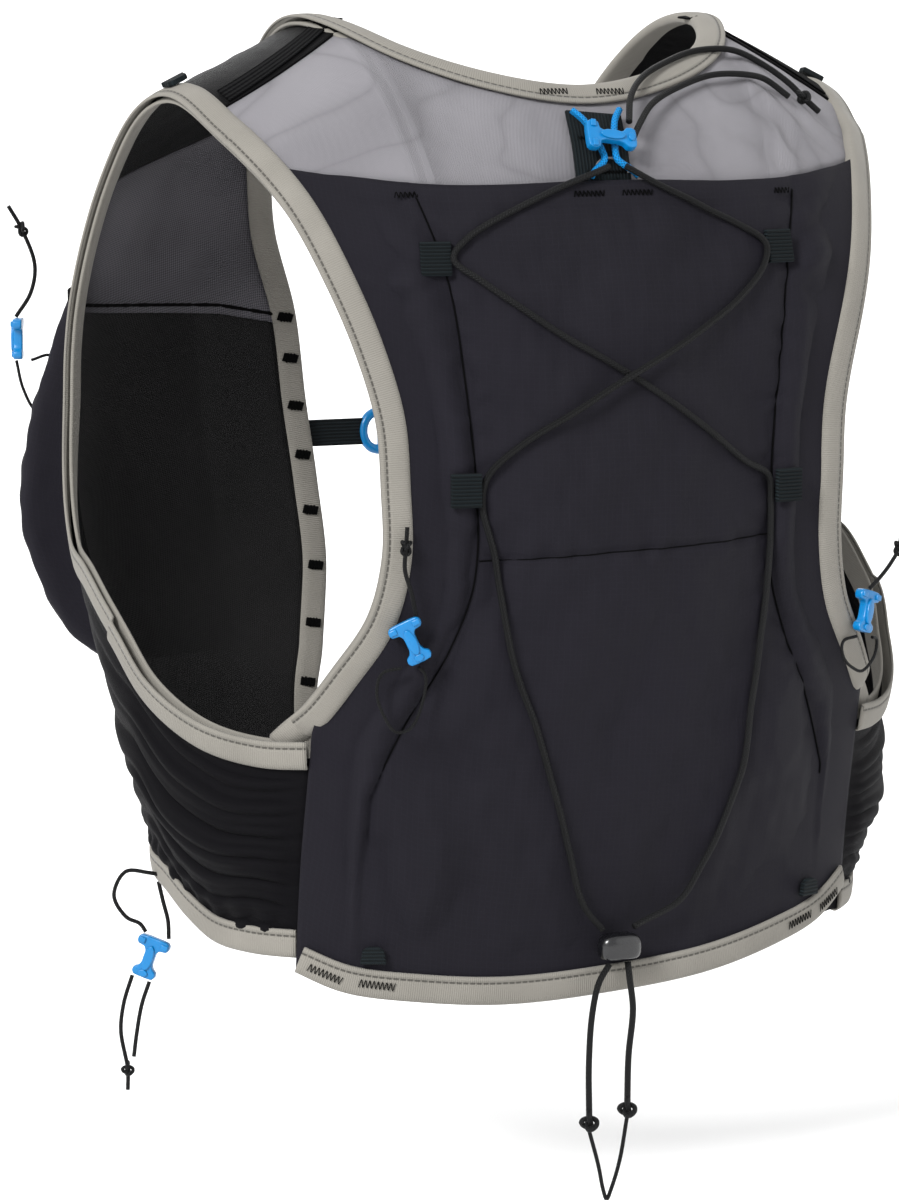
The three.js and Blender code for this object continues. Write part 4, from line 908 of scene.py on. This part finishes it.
HEM_AT = array([164, -4, -396.0])
HEM_ROUTES = {
    "tether_hem_left": ([(-6, 0, 35), (0, 0, 36.5), (9, -4, 37), (14, -5, 27), (9, -3.5, 17.5),
                         (3.5, -1.8, 14.5), (1.2, -.9, 11)], "object"),
    "tail_hem_left_front": ([(7, -2.2, -7.5), (11, -2, -19), (12.5, -2, -31), (9.5, -2, -48),
                             (9.5, -2, -57)], "knot"),
    "tail_hem_left_rear": ([(1, 2.2, -10.1), (4.5, 2, -20), (7, 2, -33), (8, 1.5, -42)], "bare"),
}
cord_hook("hook_hem_left", HEM_AT, (-.45, 0, 1), (.6, .8, 0), "cord_hook_hem_left")
for name, (rows, far_end) in HEM_ROUTES.items():
    line = HEM_AT + rows
    spare = [end_knot("knot_hem_left", line)] if far_end == "knot" else []
    free_cord(name, line, THIN_CORD, spare)
riser = HEM_AT + [(-6, -4, 31.5), (-8, -4, 23), (-9, -1, 15), (-7.8, 2.8, 7.9)]
tube("riser_hem_left_cord", spline(riser, CORD_STEP), THIN_CORD, "cord", "riser_hem_left")

# Mesh yoke, lapping under the shoulder panels and the pocket
u, v = grid(170, 60)
x = (2 * u - 1) * edge_x(v, neck_down, mouth_down)
top = neck_down(x) + SEAM_GAP - 4 * step(np.abs(x) / CHEST, .45, .5)
foot = mouth_down(x) + 4
h = mix(top, foot, v)
laps = maximum(step(h, foot - 7, foot - 3), 1 - step(h, top + 3, top + 7))
waves = .8 * bell(v) * bell(u) * (ripple(3, x, h, 55) + .5 * ripple(4, x, h, 22))
drawn = step(-x, 55, 95) * bell(v) * bell(u) * 3.2
waves += drawn * sin((x + 1.3 * h) / 4.2 + 1.5 * ripple(5, x, h, 40))
waves *= step(np.abs(x), 13, 30)
cloth("yoke", lifted(on(x, h, 1), waves - .95 * laps), "mesh", "yoke_mesh", .8)


# Back lining and pocket
def back_grid(columns, rows):
    u, v = grid(columns, rows)
    x = (2 * u - 1) * edge_x(v)
    return u, v, x, mix(mouth_down(x), hem_down(x), v)


u, v, x, h = back_grid(70, 80)
cloth("back_lining", on(x, h, 1), "dark_mesh", "back_panel", 1.0)

u, v, x, h = back_grid(170, 200)
seams = exp(-((np.abs(x) - seam_x(h)) / 1.6) ** 2) * step(1 - v, .04, .12)
cloth("back_pocket_cloth", lifted(on(x, h, 1), pocket_stand(x, h)), "shell_fabric", "back_pocket",
      FABRIC - .35 * clip(seams, 0, 1))


def stitched(name, places, thick):
    """A sunk line of thread along places given as shares, on the pocket."""
    x, h = (array(places) * (CHEST, LENGTH)).T
    line = lifted(on(x, h, 1), pocket_stand(x, h) + FABRIC)
    tube(name, spline(line, 1.5), thick, "thread", sides=6)


for name, hand in SIDES:
    places = [(hand * float(smooth(BACK_SEAM, d)), d) for d in linspace(.176, .79, 60)]
    stitched(f"pocket_seam_{name}", places, .75)
places = [(a, CROSS_SEAM[0] + CROSS_SEAM[1] * a) for a in linspace(-.36, .36, 60)]
stitched("pocket_cross_seam", places, .7)

# Shoulder panels
for name, hand in SIDES:
    u, v = grid(50, 70)
    seam_down = LENGTH * smooth(SHOULDER_BACK, mix(SHOULDER_BACK[0][0], SHOULDER_BACK[1][0], u))
    back_angle = np.arccos(1 - seam_down / ROUND_BACK)
    front_angle = math.acos(1 - LENGTH * SHOULDER_FRONT / ROUND_FRONT)
    angle = mix(back_angle, -front_angle, v)
    side = where(angle >= 0, 1.0, -1.0)
    h = round_of(side) * (1 - cos(angle))
    inner = where(side > 0, CHEST * NECK_RIDGE - .2 * h, front_edge_x(h))
    outer = where(side > 0, armhole_x(h), np.abs(around(FRONT_TURN, h)[..., 0]))
    x = hand * mix(inner, outer, u)
    wrinkle = .7 * ripple(21, x, h * 3, 26) * bell(u) * bell(v)
    cloth(f"shoulder_{name}", lifted(on(x, h, side), wrinkle), "shoulder_fabric",
          f"shoulder_panel_{name}", 1.0)
    t = linspace(.02, .98, 40)
    h = np.full(40, LENGTH * SHOULDER_FRONT)
    edge = on(hand * mix(front_edge_x(h), np.abs(around(FRONT_TURN, h)[..., 0]), t), h, -1)
    swept(f"shoulder_band_{name}", edge, flat_section(9, 1.1, 1.9), "ribbon")
    share = mix(SHOULDER_BACK[0][0], SHOULDER_BACK[1][0] - .02, t)
    edge = on(hand * CHEST * share, LENGTH * smooth(SHOULDER_BACK, share) - 3.5, 1)
    swept(f"shoulder_ribbon_{name}", edge, flat_section(11, 1.0, 1.9), "ribbon")


# Front meshes and pockets
def front_inner(h):
    return turn_of(front_edge_x(h), h, -1)


def front_grid(hand, columns, rows, top, foot):
    u, v = grid(columns, rows)
    h = mix(top(u), foot(u), v)
    inner = front_inner(h)
    return u, v, around(hand * mix(inner, FRONT_TURN, u), h)


def split_down(u):
    return LENGTH * mix(.328, .267, u)


for name, hand in SIDES:
    u, v, p = front_grid(hand, 60, 50, lambda u: LENGTH * SHOULDER_FRONT + SEAM_GAP + 0 * u,
                         lambda u: split_down(u) + 4)
    soft = .8 * ripple(31, p[..., 0], p[..., 2], 45) * bell(u) * bell(v)
    soft = soft - 1.0 * step(v, .88, .95)
    cloth(f"front_net_{name}", lifted(p, soft), "front_mesh", f"front_mesh_{name}", .9)
    u, v, p = front_grid(hand, 60, 90, split_down,
                         lambda u: LENGTH * smooth(WING_HEM, mix(WING_HEM[-1][0], FRONT_TURN, u)))
    soft = -.6 * (1 + ripple(32, p[..., 0], p[..., 2], 40)) * bell(u) * bell(v)
    cloth(f"front_lining_{name}", lifted(p, soft), "dark_mesh", f"front_panel_{name}", 1.0)
    for side, stand in (("inner", -.7), ("outer", 1.6)):
        t = linspace(.07, .95, 60)
        h = split_down(t)
        route = around(hand * mix(front_inner(h), FRONT_TURN, t), h)
        rough_edge = .5 * ripple(37, t * 120, t * 0, 6)
        tube(f"front_seam_{side}_{name}", lifted(route, stand + rough_edge), 1.8, "thread", sides=8)
    u, v = grid(90, 90)
    h = LENGTH * mix(POCKET_TOP, POCKET_FOOT, v)
    inner = front_inner(h)
    seat = mix(inner, FRONT_TURN, mix(POCKET_INNER, POCKET_OUTER, u))
    swell = smooth(FRONT_FULL, v)
    lean = OVERHANG * bell(u ** 2) * swell
    arch = maximum(0, bell(u ** 1.5)) ** .5
    along = u * 95
    folds_here = 2.2 * ripple(33 + hand, along, h, 42, 1.5) + .5 * ripple(35, along, h, 15, 1.6, 2)
    edge = bell(u) * clip((1 - v) / .1, 0, 1) * clip(v / .05, .2, 1)
    stand = POCKET_BASE + FRONT_PUFF * arch * swell + (folds_here - .8) * edge
    p = lifted(around(hand * (seat - lean), h), maximum(POCKET_BASE, stand))
    cloth(f"front_pocket_cloth_{name}", p, "shell_fabric", f"front_pocket_{name}")
    mouth = lifted(p[1, 3:-3], FABRIC + .1)
    up = unit(cross(np.gradient(mouth, axis=0), (0, 0, 1)))
    up *= np.sign((up * normal(mouth)).sum(-1))[:, None]
    swept(f"front_mouth_{name}", mouth, flat_section(7, -.3, .7), "ribbon", up=up)

# Side wings, gathered in level ruches that are broad, middling and small
WING_BULGE = {"left": 5, "right": 9}
for name, hand in SIDES:
    u, v = grid(130, 150)
    start = turn_of(CHEST * SIDE_SEAM - 7, LENGTH * mix(WING_TOP[0][1], WING_HEM[0][1], v), 1)
    turn = mix(start, FRONT_TURN - .2, u)
    top, foot = smooth(WING_TOP, turn), smooth(WING_HEM, turn)
    h = LENGTH * mix(top, foot, v)
    fade = bell(minimum(1, 1.25 * u))
    band = bell(clip((v - .12) / .7, 0, 1))
    broad = 1.6 * fade * band * (1 + sin(8 * math.pi * v + 3 * u))
    wander = ripple(41 + hand, u * 170, v * 30, 60, 1.0, 2)
    middle = .9 * sin(2 * math.pi * 9 * v + 2.4 * wander + 2 * u)
    middle *= clip(1 - 1.1 * np.abs(u - .35), .15, 1)
    small = .5 * sin(2 * math.pi * 17 * v + 5 * wander) * clip(1.2 - 1.4 * u, .1, 1)
    pleat = sin(turn * 1.15 + wander) * clip((v - .7) / .2, 0, 1) * clip((.97 - v) / .09, 0, 1)
    rim = clip(bell(u) * 3, 0, 1) * clip(bell(v) * 3, 0, 1)
    full_band = bell(v) ** 2 * bell(clip(1.15 * u, 0, 1)) ** .7
    bulge = WING_BULGE[name] * full_band
    lift = (1 - step(v, .87, .95)) * maximum(0, broad + bulge + (middle + small + pleat) * rim)
    lift = lift * step(u, .03, .1) - 1.3 * (1 - step(u, .02, .05))
    cloth(f"wing_{name}", lifted(around(hand * turn, h), lift), "wing_fabric",
          f"side_wing_{name}")


# Folded edge bindings
def bind(name, line, lift, inset, inward, node, spacing=2.0):
    """A tape folded round an edge. inward is the panel's side, and lift the height of its outer flap,
    as a number or worked out from the line."""
    line = settle(spline(line, spacing))
    base = lift(line) if callable(lift) else np.full(len(line), lift)
    w, t = BINDING_WIDTH / 2, TAPE

    def section(i):
        b = base[i] - .1
        outer = [(w, b), (w - .2, b + t * .8), (w - 1.2, b + t), (w * .5, b + t * 1.15), (0, b + t * 1.25),
                 (-w * .5, b + t * 1.1), (-w + 1.4, b + t * .75), (-w + .3, b - .1), (-w, b / 2 - .4)]
        inner = [(-w + .3, -1.0), (-w + 1.4, -1.75), (-w * .4, -2.0), (w * .3, -1.95), (w - .9, -1.8),
                 (w - .4, -1.2), (w - .9, -.25), (0, -.15), (-w + 1.1, -.15), (-w + 1.1, b)]
        return array(outer + inner) * (inward, 1) + (inset, 0)

    swept(name, line, section, "binding", node)


# The armhole binding's lower end: the place where it lies under the back panel, how deep it lies there,
# below which height, and over which span across
TUCK_AT, TUCK_DEEP, TUCK_BELOW, TUCK_SPAN = (.735, .745), 6.5, -270, (123, 134)
WING_HEM_START = 50


def armhole_lift(p):
    mouth = mouth_down(p[:, 0])
    over = step(height(p[:, 0], p[:, 2]), mouth - 2 * BINDING_WIDTH, mouth - BINDING_WIDTH)
    low_end = (np.arange(len(p)) < len(p) / 3) * (p[:, 2] < TUCK_BELOW)
    tuck = TUCK_DEEP * low_end * step(np.abs(p[:, 0]), *TUCK_SPAN)
    return where(p[:, 1] > 0, mix(OVER_PANEL, OVER_POCKET, over), OVER_PANEL) - tuck


run = [(a, d, -1) for d, a in reversed(FRONT_EDGE[1:])] + [(NECK_RIDGE, 0, 1)]
run += [(a, d, 1) for a, d in reversed(NECK_EDGE[1:])]
left = [spot(a, d, s) for a, d, s in run]
right = [spot(-a, d, s) for a, d, s in reversed(run)]
bind("neck_edge", [*left, spot(0, NECK_EDGE[0][1]), *right], OVER_PANEL, BINDING_INSET, 1, "neck_binding")
for name, hand in SIDES:
    rows = [(d, a) for d, a in reversed(ARMHOLE_BACK) if 0 < d < ARMHOLE_BACK_END]
    rows = [TUCK_AT, *rows, (0, ARMHOLE_RIDGE)]
    line = [spot(hand * a, d) for d, a in rows]
    line += [around(hand * FRONT_TURN, LENGTH * d) for d in ARMHOLE_FRONT]
    line += [around(hand * t, LENGTH * d) for t, d in reversed(WING_TOP[:-1])]
    bind(f"armhole_edge_{name}", line, armhole_lift, -hand * ARMHOLE_INSET, -hand,
         f"armhole_binding_{name}")
    foot = LENGTH * WING_HEM[-1][1]
    last = turn_of(front_edge_x(foot) + BINDING_WIDTH + 1, foot, -1)
    line = [around(hand * WING_HEM_START, LENGTH * float(smooth(WING_HEM, WING_HEM_START)))]
    line += [around(hand * t, LENGTH * d) for t, d in WING_HEM[1:-1]] + [around(hand * last, foot)]
    bind(f"wing_edge_{name}", line, OVER_PANEL, hand * BINDING_INSET, hand, f"wing_hem_binding_{name}")
HEM_STATIONS = [.69, .6, .45, .25, 0, -.25, -.45, -.6, -.69]
line = [on(CHEST * s, hem_down(CHEST * s), 1) for s in HEM_STATIONS]
bind("back_edge", line, OVER_POCKET, -BINDING_INSET, -1, "back_hem_binding")


# Bar tacks and zigzags
def zigzag(name, centre, along, up, long, high, turns, thick=.55, lift=.25):
    along, up = unit(along), unit(up)
    k = np.arange(turns + 1)[:, None]
    beside = cross(up, along) * (k % 2 - .5) * high
    points = centre + along * (k / turns - .5) * long + beside + up * lift
    tube(name, spline(points, .5), thick, "thread", sides=6)


def back_tack(name, x, h, lift, long, high, turns, thick, along=(1, 0, 0)):
    p = on(x, h, 1)
    zigzag(name, lifted(p, lift), along, normal(p), long, high, turns, thick)


TACK_LIFT = 1.5
RAIL_TACKS = (.327, .373, .426, .481, .543, .604, .666, .727)
for name, x in (("neck_tack_left", 14), ("neck_tack_right", -12)):
    back_tack(name, x, neck_down(x) + BINDING_INSET, OVER_PANEL + TACK_LIFT, 13, 3.4, 15, .4)
for k, x in enumerate((117, 98.6, -96, -114)):
    here, ahead = (on(at, hem_down(at) - BINDING_INSET, 1) for at in (x, x + 1))
    back_tack(f"hem_tack_{k}", x, hem_down(x) - BINDING_INSET, OVER_POCKET + TACK_LIFT, 15, 3.4, 17, .4,
              ahead - here)
for k, (x, long) in enumerate(((14, 14), (-8, 14), (88, 15), (-77, 12))):
    h = mouth_down(x) + 5
    back_tack(f"mouth_tack_{k}", x, h, pocket_stand(x, h) + FABRIC, long, 2.6, 15, .5)
for k, d in enumerate(RAIL_TACKS):
    p = on(front_edge_x(d * LENGTH) + BINDING_INSET, d * LENGTH, -1)
    zigzag(f"rail_tack_{k}", p - normal(p) * 2.3, (1, 0, .15), -normal(p), 6.4, 3.6, 9, 1.5, 0)

# Hanger webbing, its cords and hook
top = LENGTH * NECK_EDGE[0][1] + BINDING_INSET + BINDING_WIDTH / 2 + SEAM_GAP
foot = LENGTH * MOUTH[0][1] - SEAM_GAP
line = spline([on(4 * t, mix(top, foot, t), 1) for t in (0, .5, 1)], 1.0)
HANGER_TOP = HANGER_LIFT + HANGER_THICKNESS
swept("hanger", line, flat_section(25, HANGER_LIFT, HANGER_TOP), "webbing", "hanger_webbing")
for k, d in enumerate((.37, .86)):
    back_tack(f"hanger_stitch_{k}", 0, mix(top, foot, d), HANGER_TOP, 22, 1.6, 30, .55)
# The two strands: millimetres from the middle, and the share from the neck to the mouth
WAIST = [(11, 0), (7, .16), (3, .59), (3, .71), (9, .88), (11, .96)]
for name, hand in SIDES:
    pts = [lifted(on(hand * x, mix(top + SEAM_GAP, foot, t), 1), ON_HANGER + HANGER_CORD / 2)
           for x, t in WAIST]
    tube(f"hanger_strand_{name}", spline(pts, .8), HANGER_CORD, "accent_cord", f"hanger_cord_{name}")
p = spot(0, HOOK_DOWN)
cord_hook("hook_top", lifted(p, HOOK_LIFT), (1, 0, .18), normal(p), "top_cord_hook", .74, 1.22)
arc = [lifted(on(x, LENGTH * .158 - y, 1), HANGER_LIFT + 2.2)
       for x, y in ellipse(7.5, 6, linspace(0, math.pi, 12))]
tube("hanger_ring", spline(arc, .8), 1.1, "ring_plastic", sides=10)

# Webbing tabs, loops and the cord lock
TABS = {"upper_left": (.452, .237, .2), "upper_right": (-.399, .233, .5),
        "lower_left": (.403, .466, 1.2), "lower_right": (-.402, .475, 1.2)}
TAB_HALF, TAB_TONGUE, TAB_TALL = 5.5, 2, 7
for name, (a, d, rise) in TABS.items():
    # The tongue reaches toward the cord, on the side of the middle
    low, high = (-TAB_HALF, TAB_HALF + TAB_TONGUE) if a > 0 else (-TAB_HALF - TAB_TONGUE, TAB_HALF)
    bands = [([(low + .3, y), (high - .3, y), (high - .3, y + .9), (low + .3, y + .9)], .7, 1.35, .25)
             for y in np.arange(-6.6, 6, 1.5)]
    outline = [(low, -TAB_TALL), (high, -TAB_TALL), (high, TAB_TALL), (low, TAB_TALL)]
    out = normal(spot(a, d))
    rounded(f"tab_{name}", outline, 2, over_pocket(a, d, 1 + rise), (0, 0, 1), out, "webbing",
            f"cord_tab_{name}", .5, bands)
LOOP_OUTLINE = [(-5.5, -3.5), (5.5, -3.5), (4.5, 2.5), (2, 3.8), (-2, 3.8), (-4.5, 2.5)]
LOOP_THICK, LOOP_RISE = 2.4, 1.2
for name, hand in SIDES:
    ridge = on(hand * (CHEST * ARMHOLE_RIDGE - 1), 0, 1)
    out = normal(ridge)
    place = lifted(ridge, OVER_PANEL + 2 * LOOP_RISE + LAYER_GAP)
    rounded(f"shoulder_tab_{name}", LOOP_OUTLINE, LOOP_THICK, place, cross((0, 0, 1), out), out,
            "webbing", f"shoulder_loop_{name}", .6)
    x = hand * CHEST * .545
    drop = hem_down(x) - BINDING_INSET - BINDING_WIDTH / 2 - 4.5 - (1.5 if hand > 0 else 2)
    p = on(x, drop, 1)
    place = lifted(p, OVER_POCKET + LOOP_RISE + LAYER_GAP)
    rounded(f"hem_tab_{name}", LOOP_OUTLINE, LOOP_THICK, place, (0, 0, 1), normal(p), "webbing",
            f"hem_loop_{name}", .6)


def power(a, n):
    return np.sign(a) * np.abs(a) ** n


AROUND, UPWARD = 48, 25
u, v = meshgrid(linspace(0, 2 * math.pi, AROUND + 1)[:-1],
                linspace(-math.pi / 2, math.pi / 2, UPWARD))
waist = power(cos(v), .5)
dome = stack([9.5 * waist * power(cos(u), .6), LOCK_HALF * waist * power(sin(u), .7),
              6 * power(sin(v), .75)], -1)
dome[..., 2] = where(dome[..., 2] < -4.5, -4.5 + (dome[..., 2] + 4.5) * .2, dome[..., 2])
make("cord_lock", (LOCK + dome).reshape(-1, 3), belts(UPWARD, AROUND), "toggle_plastic",
     dome.reshape(-1, 3)[:, [0, 2]], "bottom_cord_lock")

# Chest strap, and its clip: a loop in the form of a D with a bar across it
STRAP_WIDTH, STRAP_THICK = 12, 1.6
h = LENGTH * .459
lift = OVER_PANEL + 1.2 + LAYER_GAP
root = front_edge_x(h) + 10.5
clip_x = 6.5
for name, a, b in (("left", root, clip_x + 6.5), ("right", -root, clip_x - 6)):
    line = spline([on(mix(a, b, t), h, -1) for t in (0, .25, .5, .75, 1)], 1.0)
    swept(f"chest_webbing_{name}", line, flat_section(STRAP_WIDTH, lift, lift + STRAP_THICK), "webbing",
          f"sternum_strap_{name}")
seat = on(clip_x, h, -1)
middle = lifted(seat, lift + STRAP_THICK / 2)
out = normal(seat)
right = unit(cross((0, 0, 1), out))
high = cross(out, right)
bend = ellipse(7, 8.4, linspace(-1.35, 1.35, 15))
bent = spline([(a, b, 0) for a, b in [(-7, 8.4), (-7, 0), (-7, -8.4), *bend, (-7, 8.4)]], 1)
bent = middle + bent[:, :1] * right + bent[:, 1:2] * high
tube("chest_clip", bent, 4.4, "accent_plastic", "sternum_clip")
bar = [(-2.5, -8.4), (-.5, -8.4), (-.5, 8.4), (-2.5, 8.4)]
rounded("chest_clip_bar", bar, 3.2, middle, (0, 0, 1), out, "accent_plastic", bevel=.6)

# Floor
FLOOR_HALF, FLOOR_GAP = 400, .012
mesh = bpy.data.meshes.new("floor")
corners = ((-1, -1), (1, -1), (1, 1), (-1, 1))
mesh.from_pydata([(x * FLOOR_HALF, y * FLOOR_HALF, cad_box[0][2] - FLOOR_GAP) for x, y in corners], [],
                 [(0, 1, 2, 3)])
mesh.materials.append(Nodes("floor", (.92, .92, .92), .9).material)
floor = placed("floor", mesh)
